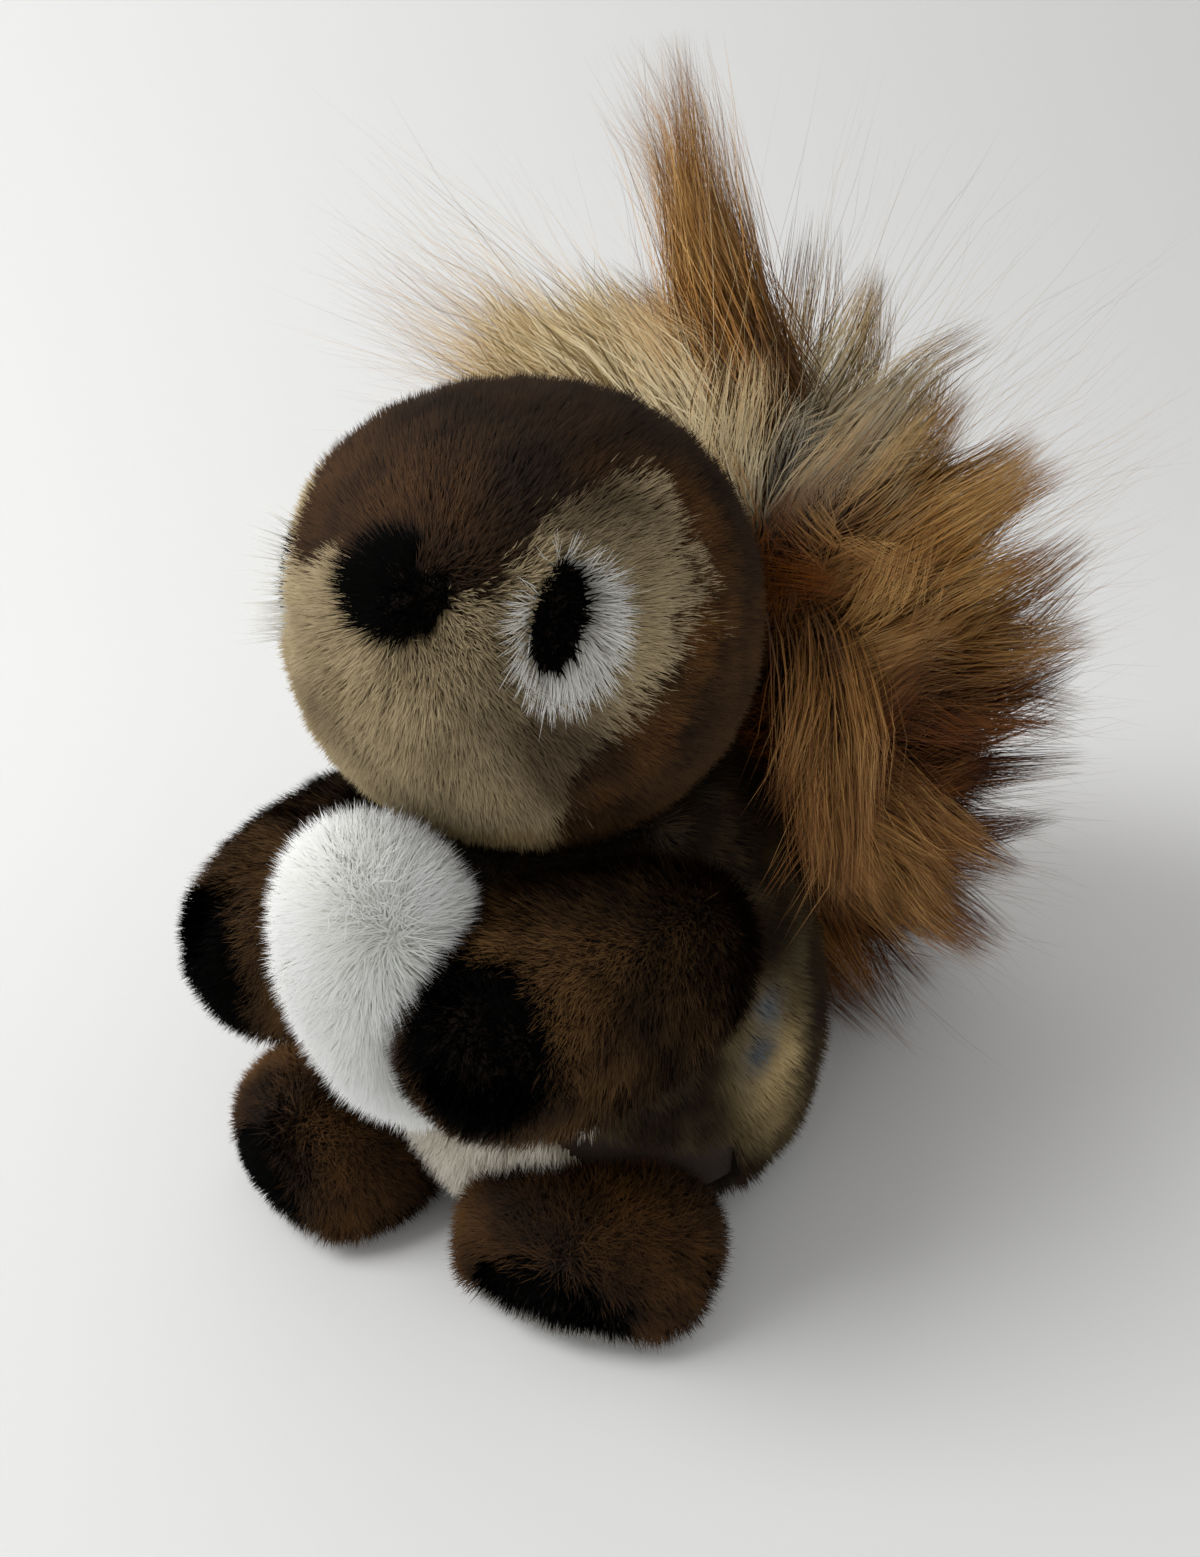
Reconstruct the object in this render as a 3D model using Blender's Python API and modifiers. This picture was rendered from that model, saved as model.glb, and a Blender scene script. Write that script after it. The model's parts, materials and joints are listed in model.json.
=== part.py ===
"""A sitting plush chipmunk sewn from sheared fur, with a bushy long-haired tail.

Each stuffed form is a core of fibre filling inside a skin of fur panels. A panel's solid is the hide
with its pile, so its outer face is where the tips of the hairs end. The chipmunk sits on the floor at
Z = 0 and looks along -Y, and its left side is at +X. Metres throughout.
"""

from math import cos, pi, radians, sin

import bmesh
import bpy
from mathutils import Matrix, Vector

# Head: a boxy ball, turned a little to the chipmunk's left
HEAD_CENTRE = Vector((0.0, -0.0070, 0.1480))
HEAD_RADII = Vector((0.0535, 0.0505, 0.0510))
HEAD_SQUARENESS = 2.25
HEAD_TURN = radians(1)
HEAD_PILE = 0.006
MUZZLE_BULGE = 0.0035
MUZZLE_PITCH = radians(2)
MUZZLE_SPREAD = radians(26)

# Seams of the head, in the head's own frame: X to its left, Z up, looking along -Y
FACE_OUTLINE = (
    (0.0, 0.0220), (0.0139, 0.0275), (0.0215, 0.0222), (0.0255, 0.0224), (0.0290, 0.0285),
    (0.0325, 0.0362), (0.0368, 0.0369), (0.0426, 0.0317), (0.0475, 0.0236), (0.0500, 0.0144),
    (0.0495, 0.0053), (0.0460, -0.0040), (0.0405, -0.0100), (0.0360, -0.0195), (0.0285, -0.0325),
    (0.0170, -0.0425), (0.0, -0.0455),
)
CHIN_Z = -0.0315
CROWN_FRONT_Z = 0.0210
CROWN_SLOPE = radians(12)

# Nose and eyes, each placed by its turn and pitch on the head
NOSE_TURN = radians(3)
NOSE_PITCH = radians(24)
NOSE_OUTLINE = (
    (0.0, -0.0115), (0.0085, -0.0055), (0.0150, 0.0030), (0.0125, 0.0100), (0.0055, 0.0105), (0.0, 0.0080),
)
NOSE_PROUD = 0.0020
EYE_RING_TURN = radians(46)
EYE_RING_PITCH = radians(15)
EYE_RING_RADII = (0.0120, 0.0172)
EYE_RING_PROUD = 0.0005
EYE_TURN = radians(44)
EYE_PITCH = radians(17)
EYE_RADII = (0.0056, 0.0098)
EYE_LEAN = radians(10)
PATCH_DEPTH = 0.0321

# Body: a squat bell, its radius given at heights from the top down
BODY_CENTRE_Y = 0.004
BODY_DEPTH_SHARE = 0.95
BODY_PROFILE = (
    (0.0280, 0.1240), (0.0400, 0.1120), (0.0500, 0.0940), (0.0585, 0.0740),
    (0.0640, 0.0520), (0.0655, 0.0320), (0.0620, 0.0130), (0.0560, 0.0035),
)
BODY_TOP_FLAT = 0.0168
SEAT_RADIUS = 0.0480
BODY_PILE = 0.0070
BELLY_HALF_WIDTH = 0.0350
BELLY_HALF_HEIGHT = 0.0540
BELLY_Z = 0.0590

# Chest: a puffy long oval sewn on the front, between the arms
CHEST_CENTRE = Vector((0.0, -0.0630, 0.0870))
CHEST_RADII = Vector((0.0255, 0.0225, 0.0410))
CHEST_SQUARENESS = 2.15
CHEST_LEAN = radians(8)
CHEST_PILE = 0.0080

# Arms: from the shoulder's centre to the paw's, the right one held further out than the left
SHOULDER = Vector((0.0385, -0.0250, 0.0810))
PAWS = {"left": Vector((0.0270, -0.0550, 0.0800)), "right": Vector((-0.0400, -0.0530, 0.0790))}
ARM_RADIUS = 0.0285
ARM_SQUARENESS = 2.5
ARM_PILE = 0.0065
PAW_PAD_FACINGS = {"left": Vector((0.25, -0.85, 0.40)), "right": Vector((-0.30, -0.92, 0.10))}
PAW_PAD_RADII = (0.0165, 0.0195)
PAW_PAD_OUT = 0.0400

# Feet: low rounded arches, splayed outwards, with the black pad set back in front
FOOT_CENTRES = {"left": Vector((0.0320, -0.0455, 0.0)), "right": Vector((-0.0430, -0.0510, 0.0))}
FOOT_WIDTH = 0.0680
FOOT_LENGTH = 0.0560
FOOT_HEIGHT = 0.0360
FOOT_SPLAYS = {"left": radians(11), "right": radians(20)}
FOOT_SQUARENESS = 3.0
FOOT_PILE = 0.0065
FOOT_PAD_WIDTH = 0.0410
FOOT_PAD_TOP = 0.0270
FOOT_PAD_RECESS = 0.0030
SOLE_HEIGHT = 0.0040

# Tail: a plume of long fur behind the back, all pointed locks, with one tall tuft over the head
PLUME_CENTRE = Vector((0.0050, 0.0840, 0.0950))
PLUME_RADII = Vector((0.0620, 0.0380, 0.0950))
PLUME_SPREAD = 0.18
PLUME_SQUARENESS = 2.5
LOCK_RADIUS = 0.0210
LOCK_TIP_RADIUS = 0.0013
LOCK_LENGTH = 0.0556
LOCK_SHORTEST = 0.0500
LOCK_BURIED_SHARE = 0.45
LOCK_FREE_BEHIND = -0.70
LOCK_SIDES = 5
LOCK_LEVELS = (-0.86, -0.62, -0.38, -0.14, 0.10, 0.34, 0.58, 0.82)
LOCKS_IN_RING = 10
LOCK_LEAN = 1.20
LOCK_FLAT_LEVEL = -0.40
LOCK_CLEAR_OF_FLOOR = 0.0030
TUFT_ROOT = Vector((0.0150, 0.0740, 0.1800))
TUFT_TIP = Vector((-0.0120, 0.0740, 0.2480))
TUFT_RADIUS = 0.0180

# What keeps neighbours apart
GAP = 0.0004
FLOOR = 0.0

# How finely the round forms are divided
BALL_SEGMENTS, BALL_RINGS = 20, 12
SMALL_SEGMENTS, SMALL_RINGS = 14, 10
BODY_STEPS = 20
SEAM_TURN = 0.7

FURS = {
    "crown_fur": (0.045, 0.027, 0.018),
    "cheek_fur": (0.120, 0.062, 0.030),
    "face_fur": (0.330, 0.230, 0.140),
    "chin_fur": (0.360, 0.245, 0.140),
    "nose_fur": (0.004, 0.004, 0.004),
    "eye_ring_fur": (0.720, 0.720, 0.680),
    "eye_fur": (0.004, 0.004, 0.004),
    "back_fur": (0.095, 0.055, 0.032),
    "belly_fur": (0.620, 0.560, 0.460),
    "seat_fur": (0.110, 0.085, 0.065),
    "chest_fur": (0.820, 0.820, 0.790),
    "arm_fur": (0.100, 0.056, 0.030),
    "pad_fur": (0.004, 0.004, 0.004),
    "foot_fur": (0.085, 0.045, 0.022),
    "sole_fur": (0.190, 0.180, 0.170),
    "tail_fur": (0.480, 0.270, 0.110),
    "filling": (0.750, 0.740, 0.700),
}
FUR_ROUGHNESS = 0.85


def clear_scene():
    for old in list(bpy.data.objects):
        bpy.data.objects.remove(old)


def new_collection(name):
    made = bpy.data.collections.new(name)
    bpy.context.scene.collection.children.link(made)
    return made


def fur_material(name):
    made = bpy.data.materials.new(name)
    made.use_nodes = True
    shader = made.node_tree.nodes["Principled BSDF"]
    shader.inputs["Base Color"].default_value = (*FURS[name], 1.0)
    shader.inputs["Roughness"].default_value = FUR_ROUGHNESS
    shader.inputs["Metallic"].default_value = 0.0
    return made


clear_scene()
PARTS = new_collection("plush_chipmunk")
CUTTERS = new_collection("cutters")
MATERIALS = {name: fur_material(name) for name in FURS}


def take_active(name, collection):
    """Names the object that an operator has just made and moves it to its collection."""
    made = bpy.context.active_object
    made.name = name
    made.data.name = name
    for old in list(made.users_collection):
        old.objects.unlink(made)
    collection.objects.link(made)
    if collection is CUTTERS:
        made.hide_render = True
        made.display_type = "WIRE"
    return made


def round_to(made, squareness, radii):
    """Pushes a unit ball's points out to a boxy ball with these radii."""
    for v in made.data.vertices:
        size = sum(abs(c) ** squareness for c in v.co) ** (-1 / squareness)
        v.co = Vector(c * size * r for c, r in zip(v.co, radii))


def ball(name, radii, squareness, frame, fine=False):
    """A boxy ball used as a form to cut with. frame places it."""
    segments, rings = (BALL_SEGMENTS, BALL_RINGS) if fine else (SMALL_SEGMENTS, SMALL_RINGS)
    bpy.ops.mesh.primitive_uv_sphere_add(segments=segments, ring_count=rings, radius=1)
    made = take_active(name, CUTTERS)
    made.data.transform(Matrix.Rotation(pi / segments * SEAM_TURN, 4, "Z"))
    round_to(made, squareness, radii)
    made.matrix_world = frame
    return made


def block(name, low, high, frame=None):
    """A box from its lowest to its highest corner, in a frame."""
    low, high = Vector(low), Vector(high)
    bpy.ops.mesh.primitive_cube_add(size=1)
    made = take_active(name, CUTTERS)
    made.data.transform(Matrix.Translation((low + high) / 2) @ Matrix.Diagonal((*(high - low), 1)))
    made.matrix_world = frame or Matrix()
    return made


def face_outwards(mesh):
    """Joins the points that lie on each other and turns every face outwards."""
    closed = bmesh.new()
    closed.from_mesh(mesh)
    bmesh.ops.remove_doubles(closed, verts=closed.verts, dist=1e-5)
    bmesh.ops.recalc_face_normals(closed, faces=closed.faces)
    closed.to_mesh(mesh)
    closed.free()


def prism(name, half_outline, depth, frame, swell=0.0, bends=2):
    """A symmetric outline, given by its +X half, pushed along the frame's Z through depth both ways."""
    curve = bpy.data.curves.new(name, "CURVE")
    curve.dimensions = "2D"
    curve.fill_mode = "BOTH"
    curve.extrude = depth
    curve.resolution_u = bends
    points = list(half_outline)
    points += [(-x, y) for x, y in reversed(half_outline) if x > 0]
    spline = curve.splines.new("BEZIER")
    spline.bezier_points.add(len(points) - 1)
    spline.use_cyclic_u = True
    area = sum(points[i - 1][0] * y - x * points[i - 1][1] for i, (x, y) in enumerate(points))
    for i, point in enumerate(spline.bezier_points):
        ahead = Vector(points[(i + 1) % len(points)]) - Vector(points[i - 1])
        away = Vector((ahead.y, -ahead.x)).normalized() * (1 if area > 0 else -1)
        point.co = (*(Vector(points[i]) + away * swell), 0)
        point.handle_left_type = point.handle_right_type = "AUTO"
    shape = bpy.data.objects.new(name + "_curve", curve)
    bpy.context.scene.collection.objects.link(shape)
    bpy.context.view_layer.update()
    mesh = bpy.data.meshes.new_from_object(shape.evaluated_get(bpy.context.evaluated_depsgraph_get()))
    bpy.data.objects.remove(shape)
    face_outwards(mesh)
    made = bpy.data.objects.new(name, mesh)
    CUTTERS.objects.link(made)
    made.hide_render = True
    made.display_type = "WIRE"
    made.matrix_world = frame
    return made


def half_ellipse(half_width, half_height, steps=7):
    """The +X half of an ellipse's outline, from its lowest point to its highest."""
    turns = [-pi / 2 + pi * step / (steps - 1) for step in range(steps)]
    return [(max(half_width * cos(t), 0.0) if 0 < i < steps - 1 else 0.0, half_height * sin(t))
            for i, t in enumerate(turns)]


def boolean(made, other, operation):
    """Cuts, joins or keeps the solid by another, then settles its mesh before the next cut."""
    modifier = made.modifiers.new(f"{operation.lower()}_{other.name}", "BOOLEAN")
    modifier.operation = operation
    modifier.object = other
    modifier.solver = "EXACT"
    modifier.use_hole_tolerant = True
    bpy.context.view_layer.update()
    solid = bpy.data.meshes.new_from_object(made.evaluated_get(bpy.context.evaluated_depsgraph_get()))
    made.modifiers.clear()
    old, made.data = made.data, solid
    bpy.data.meshes.remove(old)


def join(*others):
    return [("UNION", other) for other in others]


def cut(*others):
    return [("DIFFERENCE", other) for other in others]


def keep(*others):
    return [("INTERSECT", other) for other in others]


def piece(name, form, fur, *steps):
    """A named solid: the form's shape after others are joined, cut or kept, step by step."""
    made = bpy.data.objects.new(name, form.data.copy())
    made.matrix_world = form.matrix_world.copy()
    PARTS.objects.link(made)
    for step in steps:
        for operation, other in step:
            boolean(made, other, operation)
    face_outwards(made.data)
    made.data.name = name
    made.data.materials.clear()
    made.data.materials.append(MATERIALS[fur])
    for polygon in made.data.polygons:
        polygon.material_index = 0
        polygon.use_smooth = True
    return made


def grown(radii, by):
    return Vector(r + by for r in radii)


def facing(direction, up=Vector((0, 0, 1))):
    """A turn whose Z points along direction and whose Y is as near up as it can be."""
    z = direction.normalized()
    x = up.cross(z).normalized()
    y = z.cross(x)
    return Matrix((x, y, z)).transposed().to_4x4()


def mirrored(v, side):
    return Vector((v.x * side, v.y, v.z))


# Head
HEAD_FRAME = Matrix.Translation(HEAD_CENTRE) @ Matrix.Rotation(HEAD_TURN, 4, "Z")
FRONT_VIEW = Matrix.Rotation(radians(90), 4, "X")


def on_head(turn, pitch):
    """The direction from the head's centre, in the head's frame, at a turn to its left and a pitch up."""
    return Vector((sin(turn) * cos(pitch), -cos(turn) * cos(pitch), sin(pitch)))


def head_form(name, by):
    """The head's shape, grown by a distance, with its muzzle standing out a little."""
    made = ball(name, grown(HEAD_RADII, by), HEAD_SQUARENESS, HEAD_FRAME, fine=True)
    muzzle = on_head(0, MUZZLE_PITCH)
    for v in made.data.vertices:
        off = v.co.normalized().angle(muzzle)
        v.co += v.co.normalized() * MUZZLE_BULGE * 2 ** (-(off / MUZZLE_SPREAD) ** 2)
    return made


def head_patch(name, outline, turn, pitch, lean, swell=0.0):
    """A cutter for a patch on the head, from inside its core out past the pile."""
    reach = max(HEAD_RADII)
    turned = facing(on_head(turn, pitch)) @ Matrix.Rotation(lean, 4, "Z") @ Matrix.Translation((0, 0, reach))
    return prism(name, outline, PATCH_DEPTH, HEAD_FRAME @ turned, swell)


head_outer = head_form("head_outer", 0)
head_clear = head_form("head_clear", GAP)
head_core = head_form("head_core", -HEAD_PILE)
head_inside = head_form("head_inside", GAP - HEAD_PILE)
nose_outer = head_form("nose_outer", NOSE_PROUD)
ring_outer = head_form("ring_outer", EYE_RING_PROUD)

FAR = 0.2
face_frame = HEAD_FRAME @ FRONT_VIEW
face_depth = HEAD_RADII.y / 2 + MUZZLE_BULGE + NOSE_PROUD
face_place = face_frame @ Matrix.Translation((0, 0, face_depth))
face_keep = prism("face_keep", FACE_OUTLINE, face_depth, face_place, bends=1)
face_cut = prism("face_cut", FACE_OUTLINE, face_depth + GAP, face_place, swell=GAP, bends=1)
left_half = block("left_half", (GAP / 2, -FAR, -FAR), (FAR, FAR, FAR), HEAD_FRAME)
right_half = block("right_half", (-FAR, -FAR, -FAR), (-GAP / 2, FAR, FAR), HEAD_FRAME)
above_chin = block("above_chin", (-FAR, -FAR, CHIN_Z + GAP), (FAR, FAR, FAR), HEAD_FRAME)
below_chin = block("below_chin", (-FAR, -FAR, -FAR), (FAR, FAR, CHIN_Z), HEAD_FRAME)
crown_seam = (HEAD_FRAME @ Matrix.Translation((0, -HEAD_RADII.y, CROWN_FRONT_Z))
              @ Matrix.Rotation(-CROWN_SLOPE, 4, "X"))
above_seam = block("above_seam", (-FAR, -FAR, GAP), (FAR, FAR, FAR), crown_seam)
below_seam = block("below_seam", (-FAR, -FAR, -FAR), (FAR, FAR, 0), crown_seam)

nose_keep = head_patch("nose_keep", NOSE_OUTLINE, NOSE_TURN, NOSE_PITCH, 0)
nose_cut = head_patch("nose_cut", NOSE_OUTLINE, NOSE_TURN, NOSE_PITCH, 0, swell=GAP)
ring_outline, eye_outline = half_ellipse(*EYE_RING_RADII), half_ellipse(*EYE_RADII)
ring_cuts, ring_keeps, eye_cuts, eye_keeps = {}, {}, {}, {}
for side, word in ((1, "left"), (-1, "right")):
    place = (EYE_RING_TURN * side, EYE_RING_PITCH, -EYE_LEAN * side)
    ring_keeps[word] = head_patch(f"ring_keep_{word}", ring_outline, *place)
    ring_cuts[word] = head_patch(f"ring_cut_{word}", ring_outline, *place, swell=GAP)
    place = (EYE_TURN * side, EYE_PITCH, -EYE_LEAN * side)
    eye_keeps[word] = head_patch(f"eye_keep_{word}", eye_outline, *place)
    eye_cuts[word] = head_patch(f"eye_cut_{word}", eye_outline, *place, swell=GAP)

piece("head_filling", head_core, "filling")
piece("nose_patch", nose_outer, "nose_fur", cut(head_inside), keep(nose_keep))
piece("crown_panel", head_outer, "crown_fur", cut(head_inside, face_cut, nose_cut, *ring_cuts.values()),
      keep(above_seam))
piece("chin_panel", head_outer, "chin_fur", cut(head_inside), keep(face_keep, below_chin))
for word, half in (("left", left_half), ("right", right_half)):
    piece(f"face_panel_{word}", head_outer, "face_fur", cut(head_inside), keep(face_keep),
          cut(nose_cut, ring_cuts[word]), keep(half, above_chin))
    piece(f"cheek_panel_{word}", head_outer, "cheek_fur", cut(head_inside, face_cut, ring_cuts[word]),
          keep(below_seam, half))
    piece(f"eye_ring_{word}", ring_outer, "eye_ring_fur", cut(head_inside, eye_cuts[word]),
          keep(ring_keeps[word]))
    piece(f"eye_{word}", ring_outer, "eye_fur", cut(head_inside), keep(eye_keeps[word]))


# Body
def body_form(name, by, low, seat):
    """The body's bell, grown by a distance, standing on a flat seat at the height low."""
    top = BODY_PROFILE[0][1]
    outline = [(0.0, top + by), (BODY_TOP_FLAT, top + by)]
    outline += [(radius + by, height) for radius, height in BODY_PROFILE]
    outline += [(seat, low), (0.0, low)]
    outline = [(radius, max(height, low)) for radius, height in outline]
    mesh = bpy.data.meshes.new(name)
    mesh.from_pydata([(radius, 0, height) for radius, height in outline],
                     [(i, i + 1) for i in range(len(outline) - 1)], [])
    turned = bpy.data.objects.new(name + "_profile", mesh)
    bpy.context.scene.collection.objects.link(turned)
    screw = turned.modifiers.new("turn", "SCREW")
    screw.steps = screw.render_steps = BODY_STEPS
    screw.use_merge_vertices = True
    screw.merge_threshold = 0.00005
    bpy.context.view_layer.update()
    solid = bpy.data.meshes.new_from_object(turned.evaluated_get(bpy.context.evaluated_depsgraph_get()))
    solid.name = name
    bpy.data.objects.remove(turned)
    solid.transform(Matrix.Diagonal((1, BODY_DEPTH_SHARE, 1, 1)))
    face_outwards(solid)
    made = bpy.data.objects.new(name, solid)
    CUTTERS.objects.link(made)
    made.hide_render = True
    made.display_type = "WIRE"
    made.matrix_world = Matrix.Translation((0, BODY_CENTRE_Y, 0))
    return made


body_outer = body_form("body_outer", 0, FLOOR, SEAT_RADIUS)
body_clear = body_form("body_clear", GAP, FLOOR - GAP, SEAT_RADIUS + GAP)
body_core = body_form("body_core", -BODY_PILE, BODY_PILE, SEAT_RADIUS - BODY_PILE)
body_inside = body_form("body_inside", GAP - BODY_PILE, BODY_PILE - GAP, SEAT_RADIUS - BODY_PILE + GAP)

belly_outline = half_ellipse(BELLY_HALF_WIDTH, BELLY_HALF_HEIGHT)
belly_depth = max(radius for radius, _ in BODY_PROFILE) / 2 + GAP
belly_place = (Matrix.Translation((0, BODY_CENTRE_Y, BELLY_Z)) @ FRONT_VIEW
               @ Matrix.Translation((0, 0, belly_depth)))
belly_keep = prism("belly_keep", belly_outline, belly_depth, belly_place)
belly_cut = prism("belly_cut", belly_outline, belly_depth + GAP, belly_place, swell=GAP)
seat_depth = BODY_PILE / 2
seat_place = Matrix.Translation((0, BODY_CENTRE_Y, 0))
seat_radii = (SEAT_RADIUS - BODY_PILE, (SEAT_RADIUS - BODY_PILE) * BODY_DEPTH_SHARE)
seat_keep = prism("seat_keep", half_ellipse(*seat_radii), seat_depth + GAP, seat_place)
seat_cut = prism("seat_cut", half_ellipse(*seat_radii), BODY_PILE * 2, seat_place, swell=GAP)
body_left = block("body_left", (GAP / 2, -FAR, -FAR), (FAR, FAR, FAR))
body_right = block("body_right", (-FAR, -FAR, -FAR), (-GAP / 2, FAR, FAR))

piece("body_filling", body_core, "filling", cut(head_clear))
piece("belly_panel", body_outer, "belly_fur", cut(body_inside, head_clear, seat_cut), keep(belly_keep))
piece("seat_panel", body_outer, "seat_fur", cut(body_inside), keep(seat_keep))
for word, half in (("left", body_left), ("right", body_right)):
    piece(f"back_panel_{word}", body_outer, "back_fur", cut(body_inside, head_clear, belly_cut, seat_cut),
          keep(half))


# Arms
def arm_form(name, by, shoulder, paw):
    radius = ARM_RADIUS + by
    frame = Matrix.Translation((paw + shoulder) / 2) @ facing(paw - shoulder)
    return ball(name, (radius, radius, (paw - shoulder).length / 2 + radius), ARM_SQUARENESS, frame)


arm_clears = []
for side, word in ((1, "left"), (-1, "right")):
    ends = (mirrored(SHOULDER, side), PAWS[word])
    outer = arm_form(f"arm_outer_{word}", 0, *ends)
    core = arm_form(f"arm_core_{word}", -ARM_PILE, *ends)
    inside = arm_form(f"arm_inside_{word}", GAP - ARM_PILE, *ends)
    arm_clears.append(arm_form(f"arm_clear_{word}", GAP, *ends))
    pad_place = Matrix.Translation(PAWS[word]) @ facing(PAW_PAD_FACINGS[word])
    pad_place = pad_place @ Matrix.Translation((0, 0, PAW_PAD_OUT))
    pad_outline = half_ellipse(*PAW_PAD_RADII)
    pad_keep = prism(f"paw_pad_keep_{word}", pad_outline, ARM_RADIUS, pad_place)
    pad_cut = prism(f"paw_pad_cut_{word}", pad_outline, ARM_RADIUS + GAP, pad_place, swell=GAP)
    joined = [body_clear, head_clear]
    piece(f"arm_filling_{word}", core, "filling", cut(*joined))
    piece(f"arm_sleeve_{word}", outer, "arm_fur", cut(inside, pad_cut, *joined))
    piece(f"paw_pad_{word}", outer, "pad_fur", cut(inside, *joined), keep(pad_keep))

# Chest
CHEST_FRAME = Matrix.Translation(CHEST_CENTRE) @ Matrix.Rotation(CHEST_LEAN, 4, "X")


def chest_form(name, by):
    return ball(name, grown(CHEST_RADII, by), CHEST_SQUARENESS, CHEST_FRAME)


chest_outer = chest_form("chest_outer", 0)
chest_core = chest_form("chest_core", -CHEST_PILE)
chest_inside = chest_form("chest_inside", GAP - CHEST_PILE)
squeezed_by = [body_clear, head_clear, *arm_clears]
piece("chest_filling", chest_core, "filling", cut(*squeezed_by))
piece("chest_cover", chest_outer, "chest_fur", cut(chest_inside, *squeezed_by))


# Feet
def foot_frame(side):
    word = "left" if side > 0 else "right"
    return Matrix.Translation(FOOT_CENTRES[word]) @ Matrix.Rotation(FOOT_SPLAYS[word] * side, 4, "Z")


def foot_form(name, by, low, side):
    """A foot's rounded block, cut flat at the height low."""
    radii = (FOOT_WIDTH / 2 + by, FOOT_LENGTH / 2 + by, FOOT_HEIGHT + by)
    made = ball(name, radii, FOOT_SQUARENESS, foot_frame(side))
    flat = bmesh.new()
    flat.from_mesh(made.data)
    bmesh.ops.bisect_plane(flat, geom=[*flat.verts, *flat.edges, *flat.faces], plane_co=(0, 0, low),
                           plane_no=(0, 0, 1), clear_inner=True)
    bmesh.ops.holes_fill(flat, edges=flat.edges)
    bmesh.ops.recalc_face_normals(flat, faces=flat.faces)
    flat.to_mesh(made.data)
    flat.free()
    return made


pad_half_width, pad_half_height = FOOT_PAD_WIDTH / 2, (FOOT_PAD_TOP - SOLE_HEIGHT) / 2
for side, word in ((1, "left"), (-1, "right")):
    outer = foot_form(f"foot_outer_{word}", 0, FLOOR, side)
    core = foot_form(f"foot_core_{word}", -FOOT_PILE, FOOT_PILE, side)
    inside = foot_form(f"foot_inside_{word}", GAP - FOOT_PILE, FOOT_PILE - GAP, side)
    set_back = foot_form(f"foot_set_back_{word}", -FOOT_PAD_RECESS, FLOOR, side)
    frame = foot_frame(side)
    middle = (pad_half_height + SOLE_HEIGHT)
    pad_place = frame @ Matrix.Translation((0, -FOOT_LENGTH / 2, middle)) @ FRONT_VIEW
    pad_outline = half_ellipse(pad_half_width, pad_half_height, steps=9)
    pad_keep = prism(f"foot_pad_keep_{word}", pad_outline, FOOT_LENGTH / 4, pad_place)
    pad_cut = prism(f"foot_pad_cut_{word}", pad_outline, FOOT_LENGTH / 4 + GAP, pad_place, swell=GAP)
    wide, long = FOOT_WIDTH / 2, FOOT_LENGTH / 2
    sole_low, sole_high = Vector((-wide, -long, FLOOR - GAP)), Vector((wide, long, SOLE_HEIGHT))
    around = Vector((wide, long, 0))
    sole_keep = block(f"sole_keep_{word}", sole_low, sole_high - Vector((0, 0, GAP)), frame)
    sole_cut = block(f"sole_cut_{word}", sole_low - around, sole_high + around, frame)
    piece(f"foot_filling_{word}", core, "filling", cut(body_clear))
    piece(f"foot_sleeve_{word}", outer, "foot_fur", cut(inside, pad_cut, sole_cut, body_clear))
    piece(f"foot_pad_{word}", set_back, "pad_fur", cut(inside, sole_cut, body_clear), keep(pad_keep))
    piece(f"foot_sole_{word}", outer, "sole_fur", cut(body_clear), keep(sole_keep))


# Tail
def on_plume(turn, level):
    """A point on the plume's surface and its outward direction, by turn about Z and level from -1 to 1."""
    wide = 1 + PLUME_SPREAD * level
    flat = (1 - abs(level) ** PLUME_SQUARENESS) ** (1 / PLUME_SQUARENESS)
    ring = sum(abs(part) ** PLUME_SQUARENESS for part in (cos(turn), sin(turn))) ** (-1 / PLUME_SQUARENESS)
    unit = Vector((cos(turn) * ring * flat, sin(turn) * ring * flat, level))
    place = Vector((unit.x * PLUME_RADII.x * wide, unit.y * PLUME_RADII.y, unit.z * PLUME_RADII.z))
    power = PLUME_SQUARENESS - 1
    out = Vector((abs(u) ** power * (1 if u > 0 else -1)) / r for u, r in zip(unit, PLUME_RADII))
    return place + PLUME_CENTRE, out.normalized()


def lock(name, root, tip, radius):
    """One pointed lock of fur: a narrow cone from inside the plume to its tip."""
    along = tip - root
    bpy.ops.mesh.primitive_cone_add(vertices=LOCK_SIDES, radius1=radius, radius2=LOCK_TIP_RADIUS,
                                    depth=along.length)
    made = take_active(name, CUTTERS)
    made.matrix_world = Matrix.Translation((root + tip) / 2) @ facing(along, Vector((0, 1, 0.01)))
    return made


def locks():
    """Rings of locks up the plume, drooping at its foot and rising towards its top, and the tall tuft."""
    made = []
    for ring, level in enumerate(LOCK_LEVELS):
        for step in range(LOCKS_IN_RING):
            turn = 2 * pi * (step + 0.5 * (ring % 2)) / LOCKS_IN_RING
            place, out = on_plume(turn, level)
            if out.y < LOCK_FREE_BEHIND:
                continue
            rise = Vector((0, 0, LOCK_LEAN * (level - LOCK_FLAT_LEVEL)))
            more = (LOCK_LENGTH - LOCK_SHORTEST) * 2.5 * sin(5 * ring + 3.1 * step) ** 2
            along = (out + rise).normalized() * (LOCK_SHORTEST + more)
            root = place - along * LOCK_BURIED_SHARE
            tip = root + along
            root.z = max(root.z, LOCK_RADIUS + LOCK_CLEAR_OF_FLOOR)
            tip.z = max(tip.z, LOCK_CLEAR_OF_FLOOR)
            made.append(lock(f"lock_{ring}_{step}", root, tip, LOCK_RADIUS))
    made.append(lock("tuft", TUFT_ROOT, TUFT_TIP, TUFT_RADIUS))
    return made


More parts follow.
